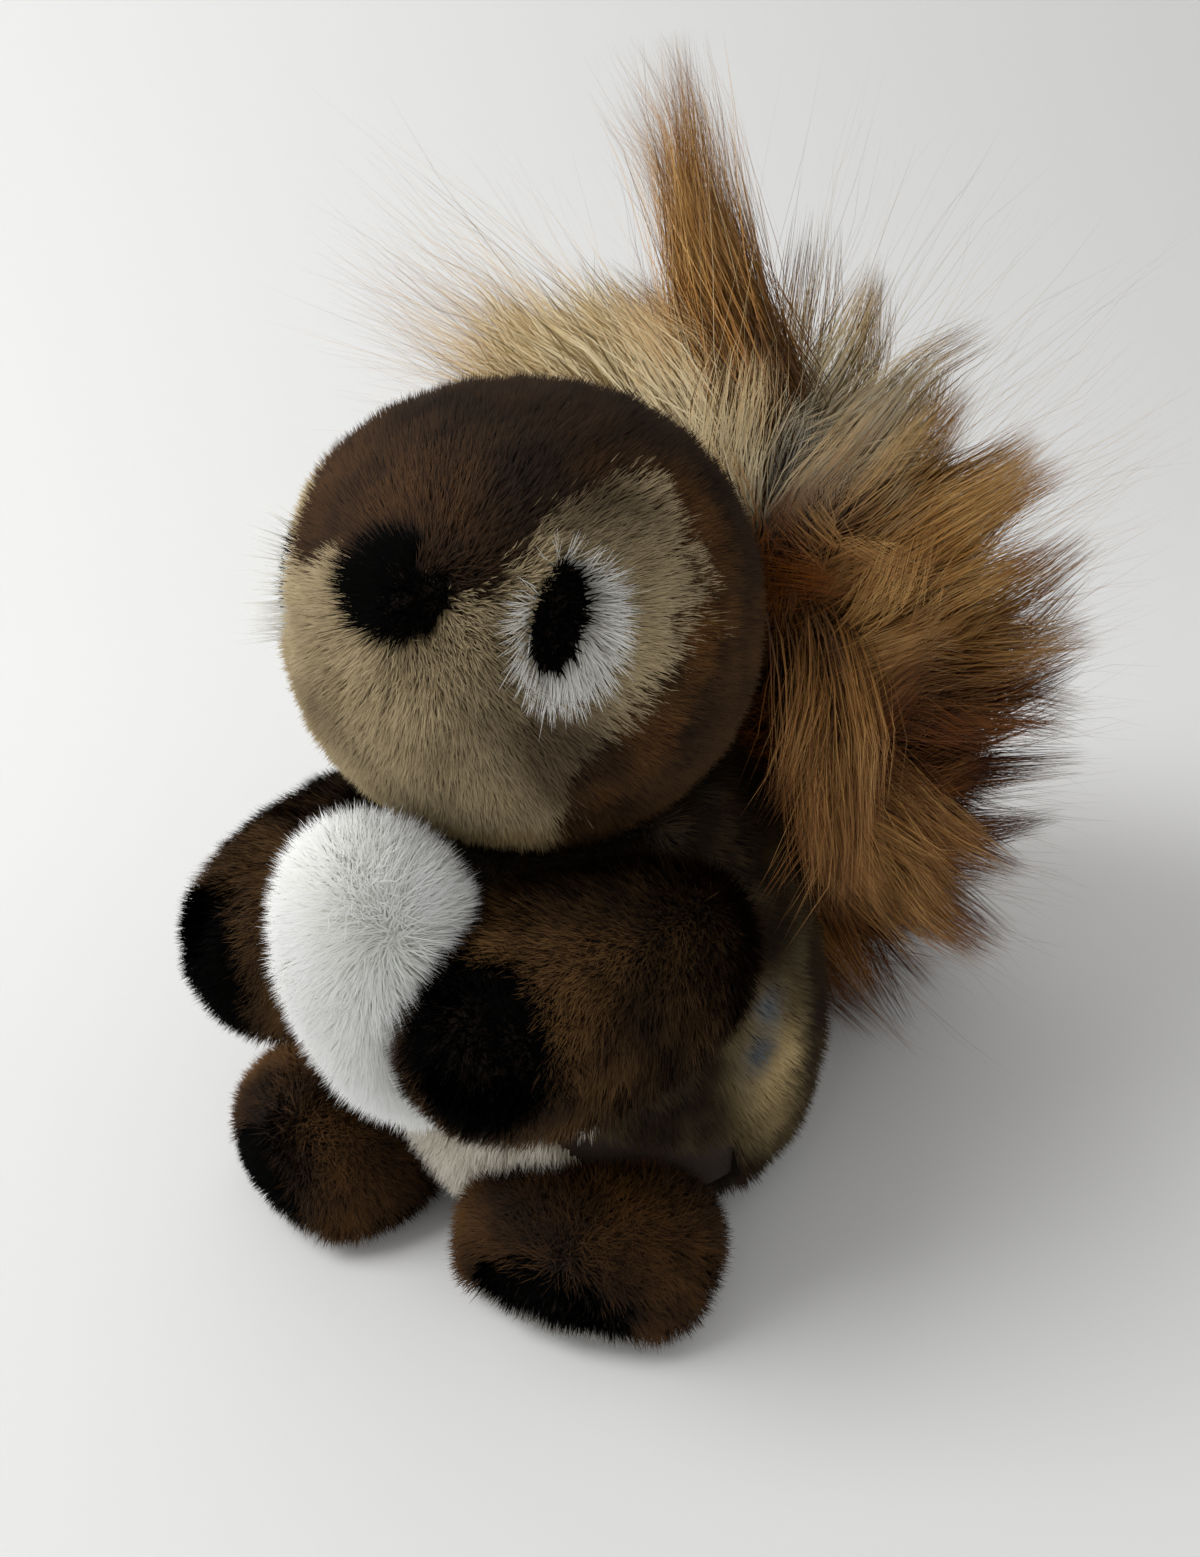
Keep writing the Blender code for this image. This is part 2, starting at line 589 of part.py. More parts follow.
below_floor = block("below_floor", (-FAR, -FAR, -FAR), (FAR, FAR, FLOOR))
plume = ball("plume", PLUME_RADII, PLUME_SQUARENESS, Matrix.Translation(PLUME_CENTRE), fine=True)
for v in plume.data.vertices:
    v.co.x *= 1 + PLUME_SPREAD * v.co.z / PLUME_RADII.z
piece("tail", plume, "tail_fur", join(*locks()), cut(body_clear, head_clear, below_floor))
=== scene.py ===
# %% [markdown]
# A sitting plush chipmunk in real-look fur. Every part of it is a sewn bag of fur cloth, filled hard,
# and what the eye sees is pile: hundreds of thousands of short hairs, and a tail of long ones. The
# stuffed forms come first, then the pile is grown on them strand by strand, because a plush has no
# smooth surface that a texture could stand for.

import json
from math import cos, radians, sin

import bpy
import numpy as np
from mathutils import Matrix, Vector
from mathutils.bvhtree import BVHTree

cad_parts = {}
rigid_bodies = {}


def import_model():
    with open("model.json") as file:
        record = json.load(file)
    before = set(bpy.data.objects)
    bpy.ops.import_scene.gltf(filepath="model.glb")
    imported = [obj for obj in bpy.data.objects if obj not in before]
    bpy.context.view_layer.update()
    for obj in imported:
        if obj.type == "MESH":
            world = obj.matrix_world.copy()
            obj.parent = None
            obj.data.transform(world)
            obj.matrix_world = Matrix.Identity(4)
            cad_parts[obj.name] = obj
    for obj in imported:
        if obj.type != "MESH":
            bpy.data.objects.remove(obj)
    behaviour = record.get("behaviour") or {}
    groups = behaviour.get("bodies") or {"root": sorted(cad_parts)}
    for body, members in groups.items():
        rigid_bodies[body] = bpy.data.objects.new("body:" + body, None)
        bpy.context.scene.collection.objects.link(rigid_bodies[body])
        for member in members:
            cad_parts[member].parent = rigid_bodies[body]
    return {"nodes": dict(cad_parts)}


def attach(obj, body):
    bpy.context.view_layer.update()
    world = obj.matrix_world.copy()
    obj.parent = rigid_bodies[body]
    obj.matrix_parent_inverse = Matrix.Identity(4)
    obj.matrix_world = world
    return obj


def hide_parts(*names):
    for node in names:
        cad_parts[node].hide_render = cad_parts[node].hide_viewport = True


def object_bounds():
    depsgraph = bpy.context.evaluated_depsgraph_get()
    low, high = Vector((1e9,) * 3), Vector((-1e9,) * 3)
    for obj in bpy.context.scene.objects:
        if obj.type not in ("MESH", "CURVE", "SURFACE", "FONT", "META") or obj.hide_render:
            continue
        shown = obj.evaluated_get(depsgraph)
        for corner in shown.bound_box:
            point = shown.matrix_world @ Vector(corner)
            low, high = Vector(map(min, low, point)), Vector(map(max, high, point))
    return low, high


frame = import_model()
CAD_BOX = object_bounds()
NODES = {n: bpy.data.objects[n] for n in frame["nodes"]}
rng = np.random.default_rng(11)
print("box of the solids, mm:", [round(1000 * (b - a)) for a, b in zip(*CAD_BOX)])

# %% [markdown]
# The camera stands close, in front and to the chipmunk's left, and looks down at it. Its place comes
# from the outline of the head, the pads and the feet in the photograph.

# %% Camera
TURN, RISE, ROLL = radians(36), radians(28.5), radians(-4.5)
DISTANCE = 0.325
LOOK_AT = Vector((0.0, 0.017, 0.095))
back = Vector((sin(TURN) * cos(RISE), -cos(TURN) * cos(RISE), sin(RISE)))
level = Vector((cos(TURN), sin(TURN), 0))
upright = back.cross(level)
across = level * cos(ROLL) + upright * sin(ROLL)
upright = upright * cos(ROLL) - level * sin(ROLL)
bpy.ops.object.camera_add()
camera = bpy.context.object
camera.matrix_world = Matrix.LocRotScale(
    LOOK_AT + back * DISTANCE, Matrix((across, upright, back)).transposed().to_quaternion(), None
)
camera.data.lens = 29.6
camera.data.sensor_width = 36
camera.data.clip_start = 0.01
bpy.context.scene.camera = camera
print("camera at", [round(c, 3) for c in camera.location])

# %% [markdown]
# Colours are written as they look on screen, and one function turns them to the linear values that
# the renderer works with. One more adds a node, sets its sockets and joins its links.


# %% Colour and nodes
def colour(code):
    """A linear colour from an sRGB hex value."""
    parts = [int(code[i : i + 2], 16) / 255 for i in (1, 3, 5)]
    return (*[c / 12.92 if c <= 0.04045 else ((c + 0.055) / 1.055) ** 2.4 for c in parts], 1.0)


def node(tree, kind, links=None, settings=None, **sockets):
    """Adds a node, sets its settings and sockets, and links each socket named in links."""
    made = tree.nodes.new(kind)
    for key, value in (settings or {}).items():
        setattr(made, key, value)
    for key, value in sockets.items():
        made.inputs[key.replace("_", " ")].default_value = value
    for key, source in (links or {}).items():
        tree.links.new(source, made.inputs[key])
    return made


def new_material(name):
    made = bpy.data.materials.new(name)
    made.use_nodes = True
    made.node_tree.nodes.clear()
    return made, made.node_tree


# %% [markdown]
# The floor is a plain pale sheet that sweeps up behind the plush, under soft light from the upper
# left, so the shadow falls to the lower right.

# %% Floor and light
SWEEP_HALF, SWEEP_RADIUS, SWEEP_BACK = 3.0, 0.5, 0.95
shift = SWEEP_HALF - SWEEP_BACK
bpy.ops.mesh.primitive_plane_add(size=2 * SWEEP_HALF, rotation=(0, 0, TURN),
                                 location=(shift * sin(TURN), -shift * cos(TURN), -0.0004))
floor = bpy.context.object
floor.name = "floor"
bpy.ops.object.mode_set(mode="EDIT")
bpy.ops.mesh.select_mode(type="EDGE")
bpy.ops.mesh.select_all(action="DESELECT")
bpy.ops.object.mode_set(mode="OBJECT")
for edge in floor.data.edges:
    edge.select = all(floor.data.vertices[i].co.y > 0 for i in edge.vertices)
bpy.ops.object.mode_set(mode="EDIT")
bpy.ops.mesh.extrude_edges_move(TRANSFORM_OT_translate={"value": (0, 0, 2 * SWEEP_HALF)})
bpy.ops.object.mode_set(mode="OBJECT")
for edge in floor.data.edges:
    ends = [floor.data.vertices[i].co for i in edge.vertices]
    edge.select = all(end.y > 0 and end.z < 1 for end in ends)
bpy.ops.object.mode_set(mode="EDIT")
bpy.ops.mesh.bevel(offset=SWEEP_RADIUS, segments=24)
bpy.ops.object.mode_set(mode="OBJECT")
bpy.ops.object.shade_smooth()
paper, tree = new_material("pale_floor")
shader = node(tree, "ShaderNodeBsdfPrincipled", Base_Color=colour("#efefee"), Roughness=0.9)
node(tree, "ShaderNodeOutputMaterial", {"Surface": shader.outputs[0]})
floor.data.materials.append(paper)

scene = bpy.context.scene
scene.view_settings.view_transform = "Standard"
world = bpy.data.worlds.new("soft_room")
scene.world = world
world.use_nodes = True
world.node_tree.nodes["Background"].inputs["Color"].default_value = colour("#f6f6f6")
world.node_tree.nodes["Background"].inputs["Strength"].default_value = 0.50


def softbox(name, place, size, power):
    """A square lamp that faces the chipmunk."""
    bpy.ops.object.light_add(type="AREA", location=place)
    lamp = bpy.context.object
    lamp.name = name
    lamp.data.size = size
    lamp.data.energy = power
    lamp.rotation_euler = (Vector(place) - LOOK_AT).to_track_quat("Z", "Y").to_euler()


softbox("window", (-0.75, -0.55, 1.15), 0.8, 13.0)
softbox("fill", (0.9, -0.9, 0.7), 0.9, 1.2)

# %% [markdown]
# The stuffed forms. A plush limb is a bag of cloth pushed out by its filling, so each one starts as
# a copy of its solid filling, is remeshed to an even cloth-like grid and blown up a little by a cloth
# simulation with pressure inside. The cloth is kept within a millimetre and a half of the solid, so
# every limb stays seated where it is sewn on.


# %% Stuffed forms
def only(obj):
    bpy.ops.object.select_all(action="DESELECT")
    obj.select_set(True)
    bpy.context.view_layer.objects.active = obj


def points_of(mesh):
    flat = np.empty(len(mesh.vertices) * 3)
    mesh.vertices.foreach_get("co", flat)
    return flat.reshape(-1, 3)


def normals_of(mesh):
    flat = np.empty(len(mesh.vertices) * 3)
    mesh.vertex_normals.foreach_get("vector", flat)
    return flat.reshape(-1, 3)


def unit(rows):
    return rows / np.maximum(np.linalg.norm(rows, axis=-1, keepdims=True), 1e-9)


CLOTH_GRID = 0.0035
CLOTH_GIVE = 0.0015
CLOTH_STEPS = 8


def stuffed(name, filling, plump):
    """The stuffed bag for one filling solid. plump is how far the hide lies outside the filling."""
    bag = bpy.data.objects.new(name, NODES[filling].data.copy())
    scene.collection.objects.link(bag)
    only(bag)
    bag.data.materials.clear()
    bpy.ops.object.mode_set(mode="EDIT")
    bpy.ops.mesh.select_all(action="SELECT")
    bpy.ops.mesh.remove_doubles(threshold=0.00005)
    bpy.ops.object.mode_set(mode="OBJECT")
    bag.data.remesh_voxel_size = CLOTH_GRID
    bpy.ops.object.voxel_remesh()
    smooth = bag.modifiers.new("soften", "SMOOTH")
    smooth.iterations = 6
    bpy.ops.object.modifier_apply(modifier=smooth.name)
    start = points_of(bag.data)
    cloth = bag.modifiers.new("filling", "CLOTH")
    cloth.settings.use_pressure = True
    cloth.settings.uniform_pressure_force = 4
    cloth.settings.effector_weights.gravity = 0
    for step in range(1, CLOTH_STEPS + 1):
        scene.frame_set(step)
    blown = bag.evaluated_get(bpy.context.evaluated_depsgraph_get())
    ended = points_of(blown.data)
    bag.modifiers.clear()
    scene.frame_set(1)
    moved = ended - start
    far = np.linalg.norm(moved, axis=1, keepdims=True)
    start = start + moved * np.minimum(1, CLOTH_GIVE / np.maximum(far, 1e-9))
    start = start + normals_of(bag.data) * plump
    bag.data.vertices.foreach_set("co", start.ravel())
    bag.data.update()
    bpy.ops.object.shade_smooth()
    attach(bag, "root")
    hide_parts(filling)
    print(name, len(bag.data.vertices), "points, swelled to",
          [round(1000 * s) for s in bag.dimensions], "mm")
    return bag


head_bag = stuffed("head_bag", "head_filling", 0.0014)
body_bag = stuffed("body_bag", "body_filling", 0.0018)
chest_bag = stuffed("chest_bag", "chest_filling", 0.0018)
arm_bags = {side: stuffed(f"arm_bag_{side}", f"arm_filling_{side}", 0.0018) for side in ("left", "right")}
foot_bags = {side: stuffed(f"foot_bag_{side}", f"foot_filling_{side}", 0.0022) for side in ("left", "right")}

# %% [markdown]
# The hide under the pile is a knitted backing. It only shows as the dark between hairs, so its
# material is a plain knit in the colour of the underfur.


# %% Hide material
def hide_material(name, dark, light):
    made, tree = new_material(name)
    where = node(tree, "ShaderNodeTexCoord")
    # Knit loops are about 1 mm across.
    loops = node(tree, "ShaderNodeTexNoise", {"Vector": where.outputs["Object"]}, Scale=900.0, Detail=2.0)
    ramp = node(tree, "ShaderNodeValToRGB", {"Fac": loops.outputs["Fac"]})
    ramp.color_ramp.elements[0].color = colour(dark)
    ramp.color_ramp.elements[1].color = colour(light)
    bump = node(tree, "ShaderNodeBump", {"Height": loops.outputs["Fac"]}, Strength=0.3, Distance=0.0005)
    shader = node(tree, "ShaderNodeBsdfPrincipled",
                  {"Base Color": ramp.outputs["Color"], "Normal": bump.outputs["Normal"]}, Roughness=0.95)
    node(tree, "ShaderNodeOutputMaterial", {"Surface": shader.outputs[0]})
    return made


brown_hide = hide_material("knitted_backing_brown", "#1a120c", "#3a2a1e")
white_hide = hide_material("knitted_backing_white", "#c9c9c2", "#e6e6e0")
for bag in (head_bag, body_bag, *arm_bags.values(), *foot_bags.values()):
    bag.data.materials.append(brown_hide)
chest_bag.data.materials.append(white_hide)

# %% [markdown]
# The pile. Each short hair is one long thin triangle that leans over the way the fur is combed, so
# there can be enough of them to hide the hide. A long hair is a strip that bends. Every
# point keeps how far along the hair it lies, a number of its own hair's and the zone of colour, and
# the fur's material reads those. The strip's shading follows the hide as much as the hair, as light
# does that seeps through real pile.


# %% Strands
def lattice_noise(places, size, seed):
    """Smooth noise from -1 to 1 at places, with features of about this size in metres."""
    scaled = places / size + seed * 17.31
    low = np.floor(scaled).astype(np.int64)
    part = scaled - low
    part = part * part * (3 - 2 * part)
    total = np.zeros(len(places))
    for corner in range(8):
        bits = np.array([corner >> 2 & 1, corner >> 1 & 1, corner & 1])
        cell = low + bits
        mixed = cell[:, 0] * 374761393 + cell[:, 1] * 668265263 + cell[:, 2] * 2147483647 + seed * 144665
        mixed = (mixed ^ (mixed >> 13)) * 1274126177
        value = ((mixed ^ (mixed >> 16)) & 0xFFFF) / 65535
        weight = np.prod(np.where(bits, part, 1 - part), axis=1)
        total += value * weight
    return total * 2 - 1


def noise_vector(places, size, seed):
    return np.stack([lattice_noise(places, size, seed + i) for i in range(3)], axis=1)


def flat_to(rows, normals):
    """What is left of each direction in the plane of its normal, as a unit row."""
    return unit(rows - normals * np.sum(rows * normals, axis=1, keepdims=True))


def strand_mesh(name, lines, sides, half_widths, hide_normals, numbers):
    """A mesh of tapered strips: lines is hairs x points x 3, half_widths hairs x (points - 1)."""
    hairs, steps, _ = lines.shape
    edge = sides[:, None, :] * half_widths[:, :, None]
    pairs = np.stack([lines[:, :-1] - edge, lines[:, :-1] + edge], axis=2).reshape(hairs, -1, 3)
    spots = np.concatenate([pairs, lines[:, -1:]], axis=1)
    each = 2 * steps - 1
    faces = [(2 * i, 2 * i + 1, 2 * i + 3, 2 * i + 2) for i in range(steps - 2)]
    order = [c for face in faces for c in face] + [2 * steps - 4, 2 * steps - 3, 2 * steps - 2]
    loops = (np.array(order)[None, :] + np.arange(hairs)[:, None] * each).ravel()
    sizes = np.tile([4] * (steps - 2) + [3], hairs)
    mesh = bpy.data.meshes.new(name)
    mesh.vertices.add(hairs * each)
    mesh.vertices.foreach_set("co", spots.ravel())
    mesh.loops.add(len(loops))
    mesh.loops.foreach_set("vertex_index", loops)
    mesh.polygons.add(len(sizes))
    mesh.polygons.foreach_set("loop_start", np.concatenate([[0], np.cumsum(sizes)[:-1]]))
    mesh.update(calc_edges=True)
    mesh.polygons.foreach_set("use_smooth", np.ones(len(sizes), bool))
    along = np.append(np.repeat(np.arange(steps - 1), 2), steps - 1) / (steps - 1)
    for key, values in numbers.items():
        mesh.attributes.new(key, "FLOAT", "POINT").data.foreach_set("value", np.repeat(values, each))
    mesh.attributes.new("along", "FLOAT", "POINT").data.foreach_set("value", np.tile(along, hairs))
    # Each hair has a cell of its own on the chart, four times as tall as it is wide.
    columns = int(np.ceil(np.sqrt(hairs * 4)))
    rows = int(np.ceil(hairs / columns))
    cell = np.arange(hairs)
    left = np.append(np.tile([0.15, 0.85], steps - 1), 0.5)
    u = (cell[:, None] % columns + left[None, :]) / columns
    v = (cell[:, None] // columns + 0.06 + 0.88 * along[None, :]) / rows
    chart = np.stack([u, v], axis=2).reshape(-1, 2)
    mesh.uv_layers.new(name="OFBake").data.foreach_set("uv", chart[loops].ravel())
    run = unit(np.gradient(lines, axis=1))
    facing = unit(np.cross(sides[:, None, :], run))
    soft = unit(0.8 * hide_normals[:, None, :] + 0.2 * facing)
    soft = np.concatenate([np.repeat(soft[:, :-1], 2, axis=1), soft[:, -1:]], axis=1)
    mesh.normals_split_custom_set_from_vertices(soft.reshape(-1, 3).tolist())
    made = bpy.data.objects.new(name, mesh)
    scene.collection.objects.link(made)
    return made


FLOOR_CLEAR = 0.0003


def short_pile(name, roots, normals, flows, length, width, lean, numbers, stray=0.25):
    """Short hairs of one triangle each. lean is how far they tilt from upright, in degrees."""
    hairs = len(roots)
    wander = noise_vector(roots, 0.006, 3) * 0.35 + rng.normal(0, stray, (hairs, 3))
    flows = flat_to(flows + wander, normals)
    sides = np.cross(flows, normals)
    reach = length * rng.uniform(0.72, 1.05, hairs) * (1 + 0.10 * lattice_noise(roots, 0.004, 8))
    tilt = (np.radians(lean) + rng.normal(0, 0.15, hairs))[:, None]
    tips = roots + (normals * np.cos(tilt) + flows * np.sin(tilt)) * reach[:, None]
    lines = np.stack([roots, tips], axis=1)
    lines[:, :, 2] = np.maximum(lines[:, :, 2], FLOOR_CLEAR)
    taper = (width / 2 * rng.uniform(0.7, 1.3, hairs))[:, None]
    numbers = {"strand": rng.uniform(0, 1, hairs), **numbers}
    made = strand_mesh(name, lines, sides, taper, normals, numbers)
    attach(made, "root")
    return made


# %% [markdown]
# Fur's material. A real hair is darker at its root and paler or rusty at its tip, neighbours differ,
# and the dye drifts over a few centimetres. Each fur takes three colours from root to tip, and three
# more for a zone where it changes, such as the paler ring round a pad.


# %% Fur material
def ramp_of(tree, source, codes, places):
    made = node(tree, "ShaderNodeValToRGB", {"Fac": source})
    elements = made.color_ramp.elements
    while len(elements) < len(codes):
        elements.new(0.5)
    for element, code, place in zip(elements, codes, places):
        element.position = place
        element.color = colour(code)
    return made


def fur(name, main, zone=None, spot=None, gloss=0.12):
    """Fur of colours main from root to tip, and of the zone's and the second zone's where those numbers
    are 1. The second zone holds the flanks' spots, and on the belly painted shade under the chest.
    """
    made, tree = new_material(name)
    along = node(tree, "ShaderNodeAttribute", settings={"attribute_name": "along"})
    strand = node(tree, "ShaderNodeAttribute", settings={"attribute_name": "strand"})
    where = node(tree, "ShaderNodeTexCoord")
    # Dye drifts over about 12 mm.
    drift = node(tree, "ShaderNodeTexNoise", {"Vector": where.outputs["Object"]}, Scale=85.0, Detail=4.0)
    place = along.outputs["Fac"]
    for source, share in ((strand.outputs["Fac"], 0.26), (drift.outputs["Fac"], 0.90)):
        mean = node(tree, "ShaderNodeMath", {0: source}, {"operation": "SUBTRACT"})
        mean.inputs[1].default_value = 0.5
        shift = node(tree, "ShaderNodeMath", {0: mean.outputs[0], 2: place}, {"operation": "MULTIPLY_ADD"})
        shift.inputs[1].default_value = share
        place = shift.outputs[0]
    out = ramp_of(tree, place, main, (0.05, 0.5, 0.98)).outputs["Color"]
    for key, codes in (("zone", zone), ("spot", spot)):
        if codes is None:
            continue
        area = node(tree, "ShaderNodeAttribute", settings={"attribute_name": key})
        other = ramp_of(tree, place, codes, (0.05, 0.5, 0.98))
        mixed = node(tree, "ShaderNodeMix", settings={"data_type": "RGBA"})
        tree.links.new(area.outputs["Fac"], mixed.inputs[0])
        tree.links.new(out, mixed.inputs[6])
        tree.links.new(other.outputs["Color"], mixed.inputs[7])
        out = mixed.outputs[2]
    shader = node(tree, "ShaderNodeBsdfPrincipled", {"Base Color": out}, Roughness=0.7,
                  Specular_IOR_Level=gloss)
    node(tree, "ShaderNodeOutputMaterial", {"Surface": shader.outputs[0]})
    return made


FURS = {
    "crown": fur("sheared_fur_crown", ("#0b0704", "#1d130a", "#38281a"), ("#1a0f07", "#3f2814", "#6a4826")),
    "cheek": fur("sheared_fur_cheek", ("#0f0905", "#28190c", "#4a331c"), ("#241407", "#553313", "#8a5f2e")),
    "face": fur("sheared_fur_face", ("#7c6a4c", "#a3906d", "#c3b08b"), ("#2a2117", "#4e402f", "#705f48")),
    "chin": fur("sheared_fur_chin", ("#7a6546", "#9f8a62", "#c2a97b"), ("#2a2117", "#4e402f", "#705f48")),
    "black": fur("sheared_fur_black", ("#010101", "#030302", "#070605"), gloss=0.03),
    "ring": fur("long_pile_white", ("#a9a69c", "#dddbd2", "#f6f5f0"), ("#3e4046", "#7c8088", "#a9acb0")),
    "back": fur("sheared_fur_back", ("#070402", "#181009", "#33240f"), ("#5d4c31", "#a48c5f", "#cdb684"),
                ("#2f3134", "#505458", "#74787a")),
    # The belly's third colours are painted shade under the chest.
    "belly": fur("sheared_fur_belly", ("#a89d86", "#e0d8c5", "#f6f0e2"), ("#3a2e1e", "#665338", "#927b54"),
                 ("#080503", "#1c140b", "#3b2c1a")),
    # The chest's zone colours are painted shade in the whorl's dimple.
    "chest": fur("plush_pile_white", ("#e9ebe3", "#f8f9f4", "#ffffff"), ("#c4c6bc", "#e2e4db", "#f4f5ef")),
    "arm": fur("sheared_fur_arm", ("#0c0704", "#25180c", "#4a341d"), ("#24150a", "#5a3e22", "#8c683c")),
    "foot": fur("sheared_fur_foot", ("#0a0502", "#22150a", "#432d18"), ("#1f1208", "#523719", "#80582e")),
    "sole": fur("short_nap_grey", ("#4b4743", "#86817a", "#aaa69e")),
}

# %% [markdown]
# Where the hairs grow. Points are scattered over each bag by area. The solid panel that lies nearest
# outside a point says which fur grows there, so the seams in the fur run exactly where the panels of
# the model meet.


# %% Roots
HAIRS_PER_CM2 = {"head": 560, "body": 380, "chest": 760, "arm": 520, "foot": 500}


def scattered(bag, density):
    """Random points on the bag, with the normals, at this many to the square centimetre."""
    mesh = bag.data
    mesh.calc_loop_triangles()
    corners = np.empty(len(mesh.loop_triangles) * 3, np.int32)
    mesh.loop_triangles.foreach_get("vertices", corners)
    corners = corners.reshape(-1, 3)
    spots, normals = points_of(mesh), normals_of(mesh)
    a, b, c = (spots[corners[:, i]] for i in range(3))
    areas = np.linalg.norm(np.cross(b - a, c - a), axis=1) / 2
    count = int(areas.sum() * 1e4 * density)
    chosen = rng.choice(len(areas), count, p=areas / areas.sum())
    r, s = rng.uniform(0, 1, (2, count, 1))
    r, s = np.where(r + s > 1, 1 - r, r), np.where(r + s > 1, 1 - s, s)
    t = 1 - r - s
    face = corners[chosen]
    roots = spots[face[:, 0]] * t + spots[face[:, 1]] * r + spots[face[:, 2]] * s
    outs = unit(normals[face[:, 0]] * t + normals[face[:, 1]] * r + normals[face[:, 2]] * s)
    return roots, outs


def nearest_of(names):
    """A function that tells, for each row, the number of the solid in names that is nearest."""
    spots, faces, owner = [], [], []
    for number, name in enumerate(names):
        mesh = NODES[name].data
        start = len(spots)
        spots += [v.co[:] for v in mesh.vertices]
        for polygon in mesh.polygons:
            faces.append([start + v for v in polygon.vertices])
            owner.append(number)
    tree = BVHTree.FromPolygons(spots, faces)
    return lambda rows: np.array([owner[tree.find_nearest(row)[2]] for row in rows.tolist()])


def inside_of(names):
    """A function that tells which rows lie inside any of these solids."""
    trees = []
    for name in names:
        mesh = NODES[name].data
        trees.append(BVHTree.FromPolygons([v.co[:] for v in mesh.vertices],
                                          [p.vertices[:] for p in mesh.polygons]))

    def test(rows):
        found = np.zeros(len(rows), bool)
        for tree in trees:
            for i, row in enumerate(rows.tolist()):
                if found[i]:
                    continue
                place, normal, _, _ = tree.find_nearest(row)
                found[i] = normal.dot(Vector(row) - place) < 0
        return found

    return test


HEAD_MIDDLE = np.array([0.0, -0.007, 0.148])
HEAD_TURN = radians(1)


def on_head(turn, pitch, radius=0.05):
    """A point by its turn to the chipmunk's left and its pitch up, from the head's middle."""
    turn, pitch = radians(turn) + HEAD_TURN, radians(pitch)
    way = np.array([sin(turn) * cos(pitch), -cos(turn) * cos(pitch), sin(pitch)])
    return HEAD_MIDDLE + way * radius


def near(rows, place, radius):
    """1 at the place, fading to 0 at about twice the radius."""
    far = np.linalg.norm(rows - np.array(place), axis=1)
    return np.exp(-((far / radius) ** 2))


def patch(rows, turn, pitch, wide, high, lean=0.0):
    """Under 1 inside an oval on the head, whose middle, half sizes and lean are in degrees."""
    away = rows - HEAD_MIDDLE
    across = np.degrees(np.arctan2(away[:, 0], -away[:, 1]) - HEAD_TURN) - turn
    up = np.degrees(np.arcsin(away[:, 2] / np.linalg.norm(away, axis=1))) - pitch
    across = across * cos(radians(pitch))
    lean = radians(lean)
    a, b = across * cos(lean) - up * sin(lean), across * sin(lean) + up * cos(lean)
    return (a / wide) ** 2 + (b / high) ** 2 + 0.16 * lattice_noise(rows, 0.0025, 15)


def blend(rows, spots):
    """The sum of soft round spots on the head, each (turn, pitch, radius, strength)."""
    return sum(near(rows, on_head(t, p, 0.054), r) * k for t, p, r, k in spots)


# %% [markdown]
# The head. Its fur is combed away from the nose: back over the crown, down over the chin and out
# over the cheeks. The rings round the eyes have longer white hair that stands away from the eye.
# The far ring's longest hairs stand out past the cheek.

# %% Head pile
NOSE = on_head(6, 26)
EYES = {"left": on_head(46, 19), "right": on_head(-46, 19)}
SIGNS = {"left": 1, "right": -1}
TRIMMED = 0.45
FLIER_LEAN, FLIER_LENGTH = 0.5, 1.9


def nose_shape(rows):
    notch = patch(rows, 17.5, 34, 3.4, 4.4, -20) < 1
    return np.where(notch, 9, patch(rows, 6.5, 27, 15.4, 13.2))


SPECIAL = {"nose_patch": nose_shape}
for side, sign in SIGNS.items():
    SPECIAL[f"eye_{side}"] = lambda r, s=sign: patch(r, 46 * s, 19.5, 6.0, 11.8, 20 * s)
    SPECIAL[f"eye_ring_{side}"] = lambda r, s=sign: patch(r, 47.8 * s, 16.5, 10.8, 16.0, 18 * s)
PLAIN = ["crown_panel", "chin_panel", "face_panel_left", "cheek_panel_left", "face_panel_right",
         "cheek_panel_right"]
HEAD_PANELS = PLAIN + list(SPECIAL)
head_roots, head_outs = scattered(head_bag, HAIRS_PER_CM2["head"])
free = ~inside_of(["body_filling"])(head_roots)
head_roots, head_outs = head_roots[free], head_outs[free]
head_owner = np.full(len(head_roots), -1)


def from_nose(rows):
    away = unit(rows - NOSE)
    return away + np.array([0, 0.5, -0.1])


def mottled(rows, size, share, seed):
    return share * lattice_noise(rows, size, seed) + 0.6 * share * lattice_noise(rows, size / 2.6, seed + 1)


def crown_zone(rows):
    spots = [(6, 46, 0.013, 0.9), (-28, 44, 0.014, 0.7), (27, 34, 0.007, 0.7), (88, 24, 0.010, 1.1),
             (84, 38, 0.008, 0.9), (62, 47, 0.006, 0.7)]
    return blend(rows, spots) + mottled(rows, 0.016, 0.22, 5)


def face_zone(rows):
    spots = [(50, 40, 0.009, 0.9), (66, 42, 0.009, 0.9), (36, -7, 0.012, 1.1), (47, -14, 0.011, 1.1),
             (-20, -2, 0.012, 0.8), (30, 27, 0.006, 0.7), (27, 12, 0.007, 0.35), (-4, -14, 0.007, 0.4)]
    return blend(rows, spots) + mottled(rows, 0.010, 0.26, 6)


def cheek_zone(rows):
    spots = [(76, 10, 0.010, 1.1), (64, -8, 0.009, 0.9), (52, -24, 0.007, 0.4)]
    return blend(rows, spots) + mottled(rows, 0.012, 0.30, 7) - 0.08


def tips_of(rows, outs, flow, length, lean, pull=1.0):
    side = flat_to(flow(rows), outs)
    return rows + outs * 0.003 + side * length * sin(radians(lean)) * pull


def claim(panel, flow, length, lean, pull):
    """Gives the patch the free roots whose hairs reach into it."""
    free = np.flatnonzero(head_owner < 0)
    tips = tips_of(head_roots[free], head_outs[free], flow, length, lean, pull)
    head_owner[free[SPECIAL[panel](tips) < 1]] = HEAD_PANELS.index(panel)


